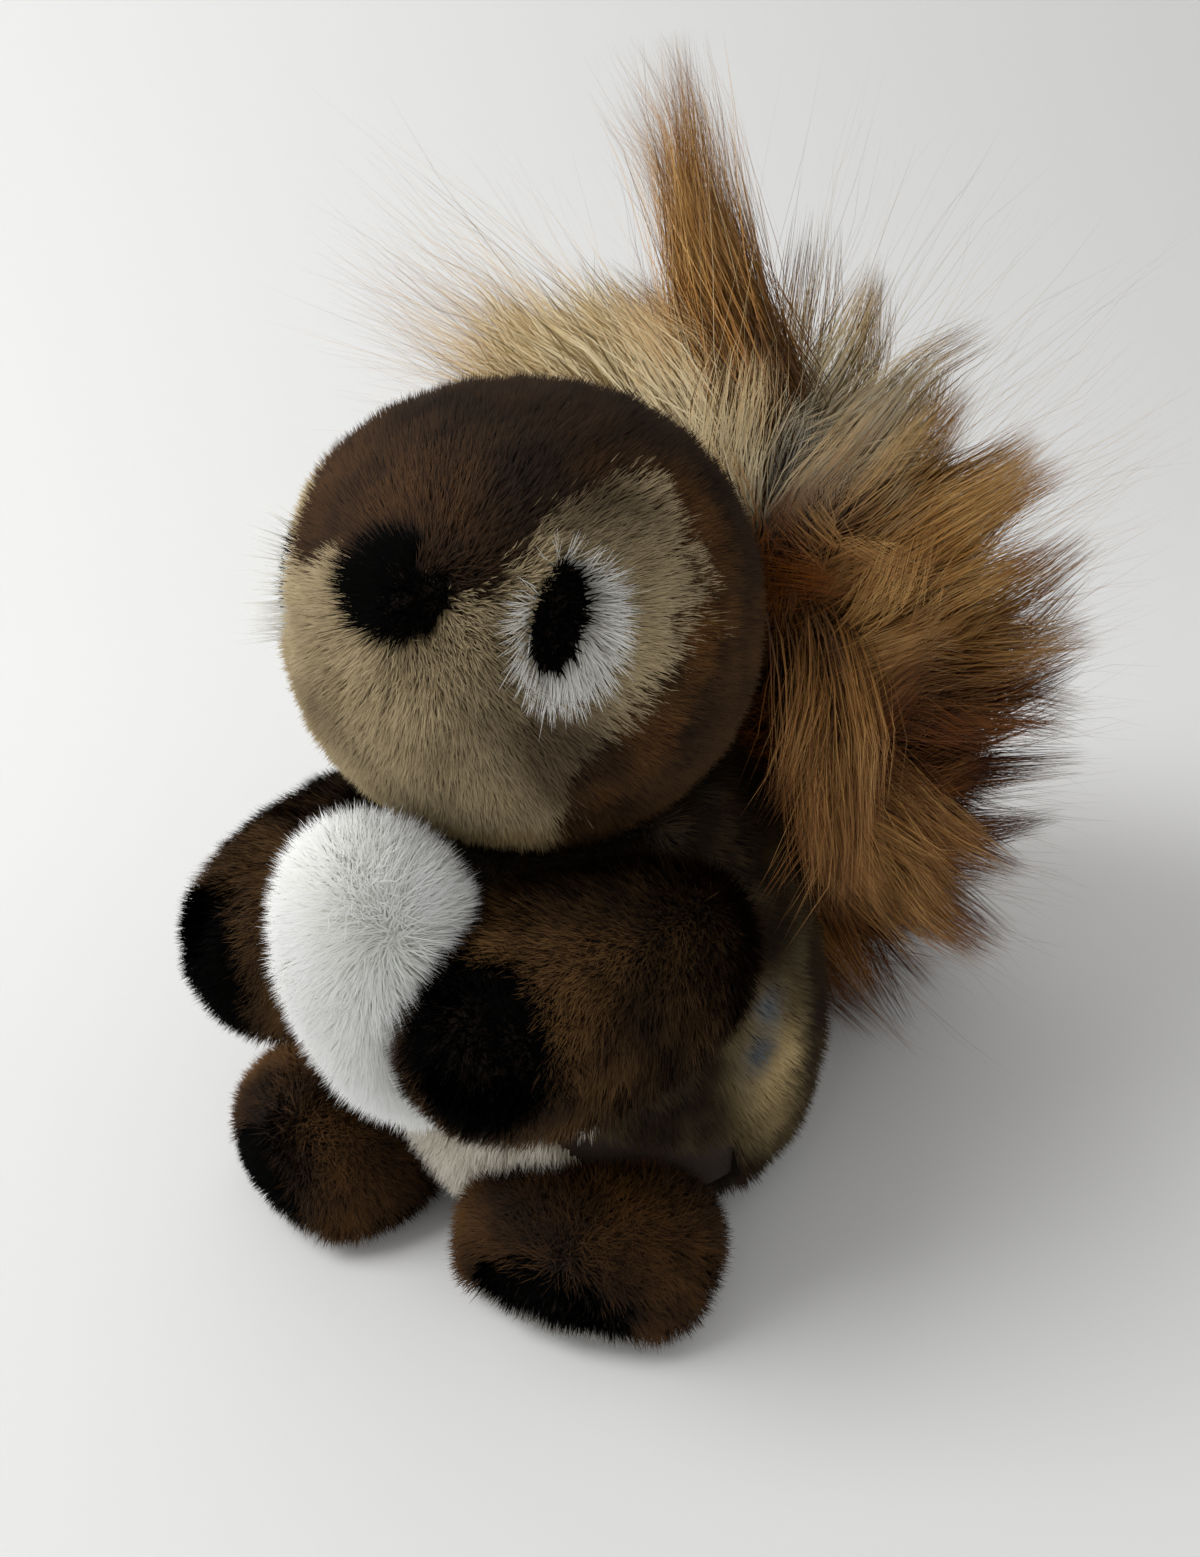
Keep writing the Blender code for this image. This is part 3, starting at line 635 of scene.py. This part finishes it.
def from_eye(eye, sink, share=1.0):
    return lambda r: unit(r - eye) * share + np.array([0, 0, sink])


def from_nose_tip(rows):
    return unit(rows - NOSE) + np.array([0, 0, 0.2])


for side, eye in EYES.items():
    claim(f"eye_{side}", from_eye(eye, 0.1, 0.6), 0.0065, 20, 0.3)
    claim(f"eye_ring_{side}", from_eye(eye, -0.35), 0.0085, 50, 0.25)
claim("nose_patch", from_nose_tip, 0.0074, 30, 0.7)
left_over = np.flatnonzero(head_owner < 0)
tips = tips_of(head_roots[left_over], head_outs[left_over], from_nose, 0.006, 46)
tips = tips + rng.normal(0, 0.0011, tips.shape) + 0.0018 * noise_vector(tips, 0.004, 71)
head_owner[left_over] = nearest_of(PLAIN)(tips)
# Hair that would lie over an eye, a ring or the nose is trimmed short.
over = np.min([SPECIAL[key](tips) for key in SPECIAL], axis=0) < 1.0
trim = np.ones(len(head_roots))
trim[left_over[over]] = TRIMMED


def head_fur(panel, fur_name, flow, length, width=0.00040, lean=48, zone=None, stray=0.28,
             fliers=0.0):
    """The pile of one panel of the head. fliers is the share of long hairs that stand away."""
    mine = head_owner == HEAD_PANELS.index(panel)
    roots, outs = head_roots[mine], head_outs[mine]
    flies = rng.uniform(0, 1, len(roots)) < fliers
    lean = np.where(flies, FLIER_LEAN, 1) * lean
    length = np.where(flies, FLIER_LENGTH, 1) * length
    numbers = {"zone": np.clip(zone(roots), 0, 1)} if zone else {}
    made = short_pile(panel.replace("_panel", "").replace("_patch", "") + "_pile", roots, outs,
                      flow(roots), length * trim[mine], width, lean, numbers, stray)
    made.data.materials.append(FURS[fur_name])
    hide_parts(panel)
    print(made.name, len(roots), "hairs")


head_fur("crown_panel", "crown", from_nose, 0.0064, zone=crown_zone)
head_fur("chin_panel", "chin", lambda r: unit(r - NOSE) + np.array([0, 0.3, -0.4]), 0.0062,
         zone=face_zone)
head_fur("nose_patch", "black", from_nose_tip, 0.0074, 0.00036, 30, stray=0.60, fliers=0.04)
for side, eye in EYES.items():
    head_fur(f"face_panel_{side}", "face", from_nose, 0.0060, 0.00048, zone=face_zone)
    head_fur(f"cheek_panel_{side}", "cheek", from_nose, 0.0066, zone=cheek_zone)
    # The near eye's hair stands away from it, and the far eye's lies back as the cheek's does.
    seen = side == "left"
    grey_spot = on_head(61 * SIGNS[side], 25, 0.054)
    head_fur(f"eye_ring_{side}", "ring", from_eye(eye, -0.5) if seen else from_nose,
             0.0076, 0.00034, 54, lambda r, s=grey_spot: 1.2 * near(r, s, 0.0048), 0.26,
             0.03 if seen else 0.12)
    head_fur(f"eye_{side}", "black", from_eye(eye, 0.0, 0.5) if seen else from_nose,
             0.0064, 0.00046, 16 if seen else 62, stray=0.60 if seen else 0.25,
             fliers=0.03 if seen else 0.0)

# %% [markdown]
# The body's fur is combed down. A pale belly shows between the legs, and a tan patch with bluish
# spots lies on each flank. The top of the belly, under the chest's overhang, is painted near black
# as shade.

# %% Body pile
BODY_PANELS = ["belly_panel", "seat_panel", "back_panel_left", "back_panel_right"]
body_roots, body_outs = scattered(body_bag, HAIRS_PER_CM2["body"])
border = 0.0030 * noise_vector(body_roots, 0.006, 75) + rng.normal(0, 0.0012, body_roots.shape)
body_owner = nearest_of(BODY_PANELS)(body_roots + body_outs * 0.002 + border)
covered = inside_of(["head_filling", "arm_filling_left", "arm_filling_right", "foot_filling_left",
                     "foot_filling_right", "chest_filling"])(body_roots + body_outs * 0.001)
FLANKS = [np.array([0.0625 * s, -0.0075, 0.0480]) for s in (1, -1)]
SPOT_PLACES = ((-0.0110, 0.0530), (-0.0055, 0.0620))
BELLY_HALF = 0.030
CHEST_SHADE = 0.062
SEAT_TOP = 0.012
FLANK_SPOTS = [np.array([0.0560 * s, y, z]) for s in (1, -1) for y, z in SPOT_PLACES]


def body_zone(rows):
    squeezed = (1.0, 1.0, 0.62)
    patch_there = sum(near(rows * squeezed, f * squeezed, 0.0115) for f in FLANKS)
    return 1.3 * patch_there + mottled(rows, 0.010, 0.14, 4)


def flank_spots(rows):
    return 1.2 * sum(near(rows, f, 0.0044) for f in FLANK_SPOTS)


def body_fur(panel, fur_name, flow, length, zone=None, spot=None):
    mine = (body_owner == BODY_PANELS.index(panel)) & ~covered
    roots, outs = body_roots[mine], body_outs[mine]
    numbers = {key: np.clip(at(roots), 0, 1) for key, at in (("zone", zone), ("spot", spot)) if at}
    made = short_pile(panel.replace("_panel", "") + "_pile", roots, outs, flow(roots), length, 0.00044,
                      46, numbers)
    made.data.materials.append(FURS[fur_name])
    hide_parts(panel)
    print(made.name, len(roots), "hairs")


def downwards(rows):
    return np.tile([0.0, 0.0, -1.0], (len(rows), 1)) + np.array([0, 0.3, 0])


# Painted shade: the belly turns near black above CHEST_SHADE, under the chest.
body_fur("belly_panel", "belly", downwards, 0.0074,
         lambda r: np.clip((np.abs(r[:, 0]) - BELLY_HALF) / 0.005, 0, 1) + mottled(r, 0.010, 0.20, 9),
         lambda r: np.clip((r[:, 2] - CHEST_SHADE) / 0.010, 0, 1))
for side in ("left", "right"):
    body_fur(f"back_panel_{side}", "back", downwards, 0.0074, body_zone, flank_spots)

# The seat is out of sight, so every second hair is enough there.
on_seat = (body_owner == BODY_PANELS.index("seat_panel")) & (body_roots[:, 2] < SEAT_TOP)
roots, outs = body_roots[on_seat][::2], body_outs[on_seat][::2]
seat = short_pile("seat_pile", roots, outs, downwards(roots), 0.0040, 0.00075, 45, {})
seat.data.materials.append(FURS["back"])
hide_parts("seat_panel")

# %% [markdown]
# The chest is a ball of its own with the longest of the short piles, pure white. Its fur runs away
# from a whorl below the chin, which leaves a soft dimple there, and the fur round the whorl is
# painted a little greyer as shade in the dimple.

# %% Chest pile
WHORL = np.array([0.0148, -0.0780, 0.1060])
roots, outs = scattered(chest_bag, HAIRS_PER_CM2["chest"])
free = ~inside_of(["body_filling", "head_filling", "arm_filling_left", "arm_filling_right"])(roots)
roots, outs = roots[free], outs[free]
open_spot = near(roots, WHORL, 0.0080)
roots = roots - outs * open_spot[:, None] * 0.0020
ways = unit(roots - WHORL)
ways = ways * 0.80 + np.cross(outs, ways) * open_spot[:, None] * 0.8 + np.array([0, 0, -0.15])
ways = ways + 0.40 * noise_vector(roots, 0.009, 81)
# The zone round the whorl is painted shade in the dimple.
chest = short_pile("chest_pile", roots, outs, ways, 0.0092, 0.00044, 42, {"zone": near(roots, WHORL, 0.005)},
                   0.40)
chest.data.materials.append(FURS["chest"])
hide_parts("chest_cover")
print("chest", len(roots), "hairs")

# %% [markdown]
# The arms' fur is combed from the shoulder to the paw and falls a little over the rim of the pad,
# which is a round of black velvet-like fur. The rims are lighter, where the hair stands away.

# %% Limb piles
def middle_of(name):
    return points_of(NODES[name].data).mean(axis=0)


SHOULDERS = {"left": np.array([0.0385, -0.0250, 0.0810]), "right": np.array([-0.0385, -0.0250, 0.0810])}
PAWS = {"left": np.array([0.0270, -0.0550, 0.0800]), "right": np.array([-0.0400, -0.0530, 0.0790])}
PADS = {side: middle_of(f"paw_pad_{side}") for side in SIGNS}
FOOT_PADS = {side: middle_of(f"foot_pad_{side}") for side in SIGNS}
print("pads' middles, mm:", {side: (1000 * PADS[side]).round(1).tolist() for side in SIGNS})


def limb_fur(name, nodes, kind, roots, outs, flow, length, lean=46, zone=None, width=0.00042):
    numbers = {"zone": np.clip(zone(roots), 0, 1)} if zone else {}
    made = short_pile(name, roots, outs, flow(roots), length, width, lean, numbers, 0.30)
    made.data.materials.append(FURS[kind])
    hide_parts(*nodes)
    print(name, len(roots), "hairs")


def rim(rows, middle, radius, width):
    """1 on a ring of this radius round a pad's middle, fading on both sides."""
    far = np.linalg.norm(rows - middle, axis=1) - radius
    return np.exp(-((far / width) ** 2))


def ragged(rows):
    """The places moved a little, so a border drawn from them runs unevenly."""
    return rows + 0.0020 * noise_vector(rows, 0.005, 77) + rng.normal(0, 0.0008, rows.shape)


def pad_ways(rows):
    return noise_vector(rows, 0.010, 83) + np.array([0, 0, -0.3])


for side in SIGNS:
    pad, paw, shoulder = PADS[side], PAWS[side], SHOULDERS[side]
    roots, outs = scattered(arm_bags[side], HAIRS_PER_CM2["arm"])
    free = ~inside_of(["body_filling", "head_filling", "chest_filling"])(roots)
    roots, outs = roots[free], outs[free]
    owner = nearest_of([f"arm_sleeve_{side}", f"paw_pad_{side}"])(ragged(roots + outs * 0.003))
    limb_fur(f"arm_pile_{side}", [f"arm_sleeve_{side}"], "arm", roots[owner == 0], outs[owner == 0],
             lambda r: np.tile(unit(paw - shoulder), (len(r), 1)) + np.array([0, 0, -0.2]), 0.0068,
             zone=lambda r: 0.12 + 0.5 * rim(r, pad, 0.026, 0.010) + mottled(r, 0.014, 0.45, 21))
    limb_fur(f"paw_pad_pile_{side}", [f"paw_pad_{side}"], "black", roots[owner == 1], outs[owner == 1],
             pad_ways, 0.0058, 22)

# %% [markdown]
# The feet are boxy bags with the same fur, a black pad let into the front and a grey sole, which
# shows as a pale edge under the pad.

# %% Foot piles
SOLE_EDGE, SOLE_REACH = 0.0080, 0.021
PAD_OVERLAP = 0.0022
PAD_DROP = np.array([0, 0, 0.0030])
for side in SIGNS:
    pad = FOOT_PADS[side]
    roots, outs = scattered(foot_bags[side], HAIRS_PER_CM2["foot"])
    free = ~inside_of(["body_filling"])(roots)
    roots, outs = roots[free], outs[free]
    toward = unit(pad - roots) * PAD_OVERLAP
    owner = nearest_of([f"foot_sleeve_{side}", f"foot_pad_{side}", f"foot_sole_{side}"])(
        ragged(roots + outs * 0.004 + toward + PAD_DROP))
    beside = np.linalg.norm((roots - pad)[:, :2], axis=1)
    owner[(roots[:, 2] < SOLE_EDGE) & (beside < SOLE_REACH)] = 2
    limb_fur(f"foot_pile_{side}", [f"foot_sleeve_{side}"], "foot", roots[owner == 0], outs[owner == 0],
             lambda r: np.array([0, -0.5, -0.1]) + 0.8 * unit(r - pad), 0.0068,
             zone=lambda r: 0.5 * rim(r, pad, 0.024, 0.008) + mottled(r, 0.014, 0.42, 22))
    limb_fur(f"foot_pad_pile_{side}", [f"foot_pad_{side}"], "black", roots[owner == 1], outs[owner == 1],
             pad_ways, 0.0042, 22)
    limb_fur(f"foot_sole_pile_{side}", [f"foot_sole_{side}"], "sole", roots[owner == 2], outs[owner == 2],
             lambda r: unit(r - pad), 0.0045, 42)

# %% [markdown]
# The tail is a strip of long-haired fur round a soft core. Its hair lies off the spine to both
# sides and rises with height, so it fans out behind the head: cream to one side and at the top,
# orange-brown with pale tips to the other, rust along the body and at its foot, whose near-black
# roots there are painted shade that the body casts. Where it parts above the head, grey underfur
# shows. It is built in two coats, dense wavy underfur and long guard hair, and each coat gathers in
# locks, because long hair clings together at the tips. A few single hairs stand out beyond them.

# %% Tail core
TAIL_MIDDLE = np.array([0.0050, 0.0840, 0.0920])
TAIL_RADII = np.array([0.050, 0.029, 0.075])
SPINE = 0.010
# The core is a finely divided cube cast to a ball. A ball primitive isn't used, because its faces come
# in another order on each run, and the hairs are placed by the order of the faces.
bpy.ops.mesh.primitive_cube_add(size=2)
tail_bag = bpy.context.object
tail_bag.name = "tail_bag"
only(tail_bag)
grid = tail_bag.modifiers.new("grid", "SUBSURF")
grid.levels = 4
ball = tail_bag.modifiers.new("ball", "CAST")
ball.factor = 1.0
ball.use_radius_as_size = False
ball.size = 1.0
for modifier in ("grid", "ball"):
    bpy.ops.object.modifier_apply(modifier=modifier)
print("tail core", len(tail_bag.data.vertices), "points, reach before scaling",
      np.ptp(points_of(tail_bag.data), axis=0).round(3))
bpy.ops.object.mode_set(mode="EDIT")
bpy.ops.mesh.select_all(action="SELECT")
bpy.ops.transform.resize(value=TAIL_RADII.tolist(), center_override=(0, 0, 0))
bpy.ops.transform.translate(value=TAIL_MIDDLE.tolist())
bpy.ops.object.mode_set(mode="OBJECT")
bpy.ops.object.shade_smooth()
tail_bag.data.materials.append(hide_material("tail_skin_tan", "#4a3018", "#7a5a34"))
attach(tail_bag, "root")
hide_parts("tail")


# %% [markdown]
# Long fur's material. It has the same root-to-tip idea as the short pile, with four dyes that three
# numbers of each hair mix: how cream, how rusty and how grey it is. The rust dyes' near-black roots
# are painted shade, for the hair that lies in the body's shadow.


# %% Long fur material
def long_fur(name, dyes):
    """Fur whose dyes are (attribute, four colours from root to tip); the first has no attribute."""
    made, tree = new_material(name)
    along = node(tree, "ShaderNodeAttribute", settings={"attribute_name": "along"})
    strand = node(tree, "ShaderNodeAttribute", settings={"attribute_name": "strand"})
    where = node(tree, "ShaderNodeTexCoord")
    # The dye drifts over about 10 mm.
    drift = node(tree, "ShaderNodeTexNoise", {"Vector": where.outputs["Object"]}, Scale=100.0, Detail=2.0)
    both = node(tree, "ShaderNodeMath", {0: strand.outputs["Fac"], 1: drift.outputs["Fac"]},
                {"operation": "ADD"})
    shift = node(tree, "ShaderNodeMath", {0: both.outputs[0]}, {"operation": "MULTIPLY_ADD"})
    shift.inputs[1].default_value = 0.40
    shift.inputs[2].default_value = -0.40
    place = node(tree, "ShaderNodeMath", {0: along.outputs["Fac"], 1: shift.outputs[0]}, {"operation": "ADD"})
    out = None
    for key, codes in dyes:
        ramp = ramp_of(tree, place.outputs[0], codes, (0.10, 0.50, 0.85, 1.10 / 1.2)).outputs["Color"]
        if out is None:
            out = ramp
            continue
        area = node(tree, "ShaderNodeAttribute", settings={"attribute_name": key})
        mixed = node(tree, "ShaderNodeMix", settings={"data_type": "RGBA"})
        tree.links.new(area.outputs["Fac"], mixed.inputs[0])
        tree.links.new(out, mixed.inputs[6])
        tree.links.new(ramp, mixed.inputs[7])
        out = mixed.outputs[2]
    shader = node(tree, "ShaderNodeBsdfPrincipled", {"Base Color": out}, Roughness=0.50,
                  Specular_IOR_Level=0.24, Sheen_Weight=0.03)
    node(tree, "ShaderNodeOutputMaterial", {"Surface": shader.outputs[0]})
    return made


# The rust dyes are the tail's real rust, with near-black roots that are painted shade near the body.
under_fur = long_fur("tail_underfur", [
    ("", ("#6c451c", "#b57c38", "#d8a860", "#e2c490")),
    ("cream", ("#c9b894", "#e0cfa8", "#e8d6ae", "#dcc28e")),
    ("rust", ("#1b0d04", "#4a270a", "#7c4512", "#8a531f")),
    ("grey", ("#6f6b67", "#8f8a83", "#aca496", "#c2b598")),
])
guard_fur = long_fur("tail_guard_hair", [
    ("", ("#744a1c", "#c38a42", "#e6ba74", "#b88044")),
    ("cream", ("#d8c8a0", "#e4d0a2", "#deba84", "#8a6238")),
    ("rust", ("#1e0e04", "#5c3009", "#8e4f12", "#4a240a")),
    ("grey", ("#8b857c", "#b3a891", "#c6b48e", "#a48a5f")),
])

# %% [markdown]
# Every lock has a root, a direction and a tip. A hair of the coat starts at its own root and leans
# over to its lock the further out it gets.


# %% Tail hair
HEAD_RADII = np.array([0.0535, 0.0505, 0.0510])
BOX_LOW, BOX_HIGH = (np.array(c) for c in CAD_BOX)
BOX_SPARE = 0.011
HAIR_FLOOR = 0.0015
# The body's half widths at five heights. No hair of the tail runs through the body or the head.
BODY_LEVELS = (0.0, 0.032, 0.074, 0.094, 0.124)
BODY_WIDTHS = (0.056, 0.0655, 0.0585, 0.050, 0.028)
STRIP_WIDTHS = np.array([0.8, 1.0, 0.8, 0.5, 0.3, 0.2])
FAN_FOOT, FAN_RISE = 0.035, 0.125
PARTING, PARTING_RADIUS = (0.071, 0.166), 0.013
CREAM_EDGE, CREAM_SLOPE, SLOPE_START = 0.150, 0.35, 0.057


def step_up(values, low, high):
    part = np.clip((values - low) / (high - low), 0, 1)
    return part * part * (3 - 2 * part)


def tail_roots(count):
    """Places all over the core, with the normals and the way that long hair lies there."""
    roots, outs = scattered(tail_bag, 1.3 * count / 120)
    keep = rng.permutation(len(roots))[:count]
    roots, outs = roots[keep], outs[keep]
    side = np.tanh((roots[:, 0] - SPINE) / 0.014)
    rise = np.clip((roots[:, 2] - FAN_FOOT) / FAN_RISE, 0, 1)
    off = np.where(side < 0, 0.95 - 0.15 * rise, 0.95 - 0.30 * rise)
    climb = np.where(side < 0, -0.20 + 0.85 * rise, np.minimum(-0.35 + 1.90 * rise, 0.85))
    ways = np.stack([side * off, np.full(len(roots), 0.05), climb], axis=1)
    ways += outs * np.array([0.35, 0.45, 0.20])
    ways[:, 2] += 0.30 * step_up(roots[:, 2], 0.138, 0.165)
    return roots, outs, unit(ways)


def seen_at(places):
    """How far right and how high places lie along two axes that slope with the fan of the tail."""
    return places @ np.array(level), places @ np.array(back.cross(level))


def parted(places):
    """1 where the hair parts and the grey underfur shows."""
    right, high = seen_at(places)
    return np.exp(-((right - PARTING[0]) ** 2 + (high - PARTING[1]) ** 2) / PARTING_RADIUS**2)


def dyes_of(middles):
    """The dyes of hairs whose middles are at these places."""
    right, high = seen_at(middles)
    wave = lattice_noise(middles, 0.012, 31)
    edge = CREAM_EDGE + CREAM_SLOPE * np.maximum(right - SLOPE_START, 0) + 0.004 * wave
    cream = step_up(high - edge, -0.006, 0.008)
    # Rust near the body and at the foot: real rust, whose near-black roots there are painted shade.
    rust = np.maximum(step_up(-right, -0.078, -0.056), step_up(-high, -0.130, -0.092)) * (1 - cream)
    return {"cream": np.clip(cream + 0.2 * wave * (cream > 0.02), 0, 1),
            "rust": np.clip(rust + 0.30 * wave * (1 - cream), 0, 1),
            "grey": np.clip(1.3 * parted(middles), 0, 1)}


def tail_coat(name, source, steps, locks, length, width, cling, spread, material, part_ways=0.22,
              dyes=dyes_of, curl=0.004):
    """One coat of long hair. cling is how far tips gather in their lock, spread how far they stray,
    and part_ways how much the locks' own directions differ."""
    roots, outs, goals = source
    count = len(roots)
    heads = rng.permutation(count)[:locks]
    owner = np.empty(count, int)
    for start in range(0, count, 4000):
        part = roots[start:start + 4000]
        owner[start:start + 4000] = np.argmin(
            np.linalg.norm(part[:, None, :] - roots[heads][None, :, :], axis=2), axis=1)
    lock_goal = unit(goals[heads] + rng.normal(0, part_ways, (locks, 3)))
    lock_reach = length * rng.uniform(0.75, 1.12, locks)
    reach = lock_reach[owner] * rng.uniform(0.70, 1.10, count)
    reach = reach * (1 - 0.5 * parted(roots + goals * length * 0.4))
    reach = reach * (0.66 + 0.34 * step_up(roots[:, 2], 0.050, 0.125))
    goal = unit(goals + rng.normal(0, spread, (count, 3)))
    part = np.linspace(0, 1, steps)

    def path(root, out, way, far):
        bend = part[None, :, None]
        rise = out[:, None, :] * (bend - 0.62 * bend**2)
        run = way[:, None, :] * (0.35 * bend + 0.65 * bend**2)
        return root[:, None, :] + (rise * 0.75 + run) * far[:, None, None]

    own = path(roots, outs, goal, reach)
    shared = path(roots[heads], outs[heads], lock_goal, lock_reach)[owner]
    pull = (cling * part**1.3)[None, :, None]
    lines = own * (1 - pull) + shared * pull
    wave = noise_vector(lines.reshape(-1, 3), 0.014, 41).reshape(lines.shape)
    lines = lines + wave * (part**1.5)[None, :, None] * curl
    ends = lines[:, -1]
    spare = np.ones(count)
    for axis in range(3):
        high = BOX_HIGH[axis] + BOX_SPARE - roots[:, axis]
        low = roots[:, axis] - (HAIR_FLOOR if axis == 2 else BOX_LOW[axis] - BOX_SPARE)
        going = ends[:, axis] - roots[:, axis]
        room = np.where(going > 0, high, low) / np.maximum(np.abs(going), 1e-6)
        spare = np.minimum(spare, room)
    lines = roots[:, None, :] + (lines - roots[:, None, :]) * np.clip(spare, 0.2, 1)[:, None, None]
    lines[:, :, 2] = np.maximum(lines[:, :, 2], HAIR_FLOOR)
    in_head = (np.sum((np.abs(lines - HEAD_MIDDLE) / (HEAD_RADII * 0.97)) ** 2.25, axis=2) < 1).any(axis=1)
    wide = np.interp(lines[:, :, 2], BODY_LEVELS, BODY_WIDTHS)
    from_axis = np.hypot(lines[:, :, 0], (lines[:, :, 1] - 0.004) / 0.95)
    in_body = ((from_axis < wide * 0.97) & (lines[:, :, 2] < BODY_LEVELS[-1])).any(axis=1)
    keep = ~(in_head | in_body)
    lines, roots, outs = lines[keep], roots[keep], outs[keep]
    run = unit(lines[:, -1] - lines[:, 0])
    sides = unit(np.cross(run, outs + rng.normal(0, 0.4, outs.shape)))
    taper = (width / 2) * STRIP_WIDTHS[None, :steps - 1] * rng.uniform(0.7, 1.3, len(roots))[:, None]
    strand = 0.5 * rng.uniform(0, 1, len(roots)) + 0.5 * rng.uniform(0, 1, locks)[owner[keep]]
    numbers = {"strand": strand, **dyes(lines[:, steps // 2])}
    made = strand_mesh(name, lines, sides, taper, outs, numbers)
    made.data.materials.append(material)
    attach(made, "root")
    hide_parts("tail")
    print(name, len(roots), "hairs")
    return made


def around(count, middle, spread):
    """Places strewn round a middle, no further than 1.8 times the spread."""
    return np.array(middle) + np.clip(rng.normal(0, 1, (count, 3)), -1.8, 1.8) * np.array(spread)


tail_coat("tail_underfur", tail_roots(38000), 4, 460, 0.027, 0.00040, 0.50, 0.24, under_fur, 0.28, curl=0.006)
tail_coat("tail_guard_hair", tail_roots(27000), 5, 260, 0.045, 0.00028, 0.66, 0.16, guard_fur, 0.30)
roots, outs, ways = tail_roots(2200)
ways = unit(ways * np.array([1, 1, 0.7]))
tail_coat("tail_fliers", (roots, outs, ways), 6, 700, 0.080, 0.00014, 0.10, 0.24, guard_fur)

# %% [markdown]
# The side that is cream is woolly: a bank of fine hair that lies away over the back of the head, with
# a few long hairs that stand out nearly level.


# %% Cream bank
def dyed(cream, rust):
    """The dyes of a coat that has the same colours all over, a little mixed."""
    def dyes(rows):
        mix = 0.5 * lattice_noise(rows, 0.006, 51)
        return {"cream": np.full(len(rows), cream), "grey": np.zeros(len(rows)),
                "rust": np.clip(rust + mix * (rust > 0), 0, 1)}

    return dyes


roots = around(11000, (-0.0130, 0.0760, 0.1560), (0.0150, 0.0090, 0.0080))
outs = unit(np.array([-0.3, -0.1, 1.0]) + rng.normal(0, 0.25, roots.shape))
ways = unit(np.array([-0.62, -0.22, 0.62]) + rng.normal(0, 0.10, roots.shape))
tail_coat("tail_cream_bank", (roots, outs, ways), 4, 150, 0.040, 0.00036, 0.35, 0.26, under_fur, 0.24,
          dyed(1.0, 0.0), 0.006)
roots = around(900, (-0.0150, 0.0740, 0.1600), (0.0150, 0.0080, 0.0080))
ways = unit(np.array([-0.85, -0.20, 0.45]) + rng.normal(0, 0.12, roots.shape))
tail_coat("tail_cream_fliers", (roots, unit(ways + np.array([0, 0, 0.5])), ways), 6, 200, 0.082, 0.00014,
          0.10, 0.16, guard_fur, 0.20, dyed(0.5, 0.0))

# %% [markdown]
# The tall tuft above the head is the longest hair of all. Its strands part from each other and have
# dark tips. Two dark locks hang down over the body's edge on the side that the camera sees.


# %% Tuft and hanging locks
TUFT_TIP = np.array([-0.0115, 0.0720, 0.2560])
roots = around(2000, (0.0150, 0.0740, 0.1730), (0.0090, 0.0060, 0.0090))
ways = unit(TUFT_TIP - roots)
outs = unit(ways + rng.normal(0, 0.20, ways.shape))
tail_coat("tail_tuft", (roots, outs, ways), 6, 30, 0.062, 0.00024, 0.56, 0.12, guard_fur, 0.16,
          dyed(0.0, 0.20))

LOCKS = (("upper", 1500, (0.0440, 0.0465, 0.1200), (0.10, -0.46, -0.88), 0.050),
         ("lower", 900, (0.0500, 0.0550, 0.0840), (0.80, -0.10, -0.55), 0.040))
for place, count, middle, way, length in LOCKS:
    roots = around(count, middle, (0.0045, 0.0055, 0.0105))
    ways = np.tile(unit(np.array(way)), (len(roots), 1))
    outs = unit(np.array([0.8, -0.4, 0.0]) + rng.normal(0, 0.3, ways.shape))
    tail_coat(f"tail_hanging_lock_{place}", (roots, outs, ways), 5, 24, length, 0.00028, 0.62, 0.12,
              guard_fur, 0.20, dyed(0.0, 0.6))
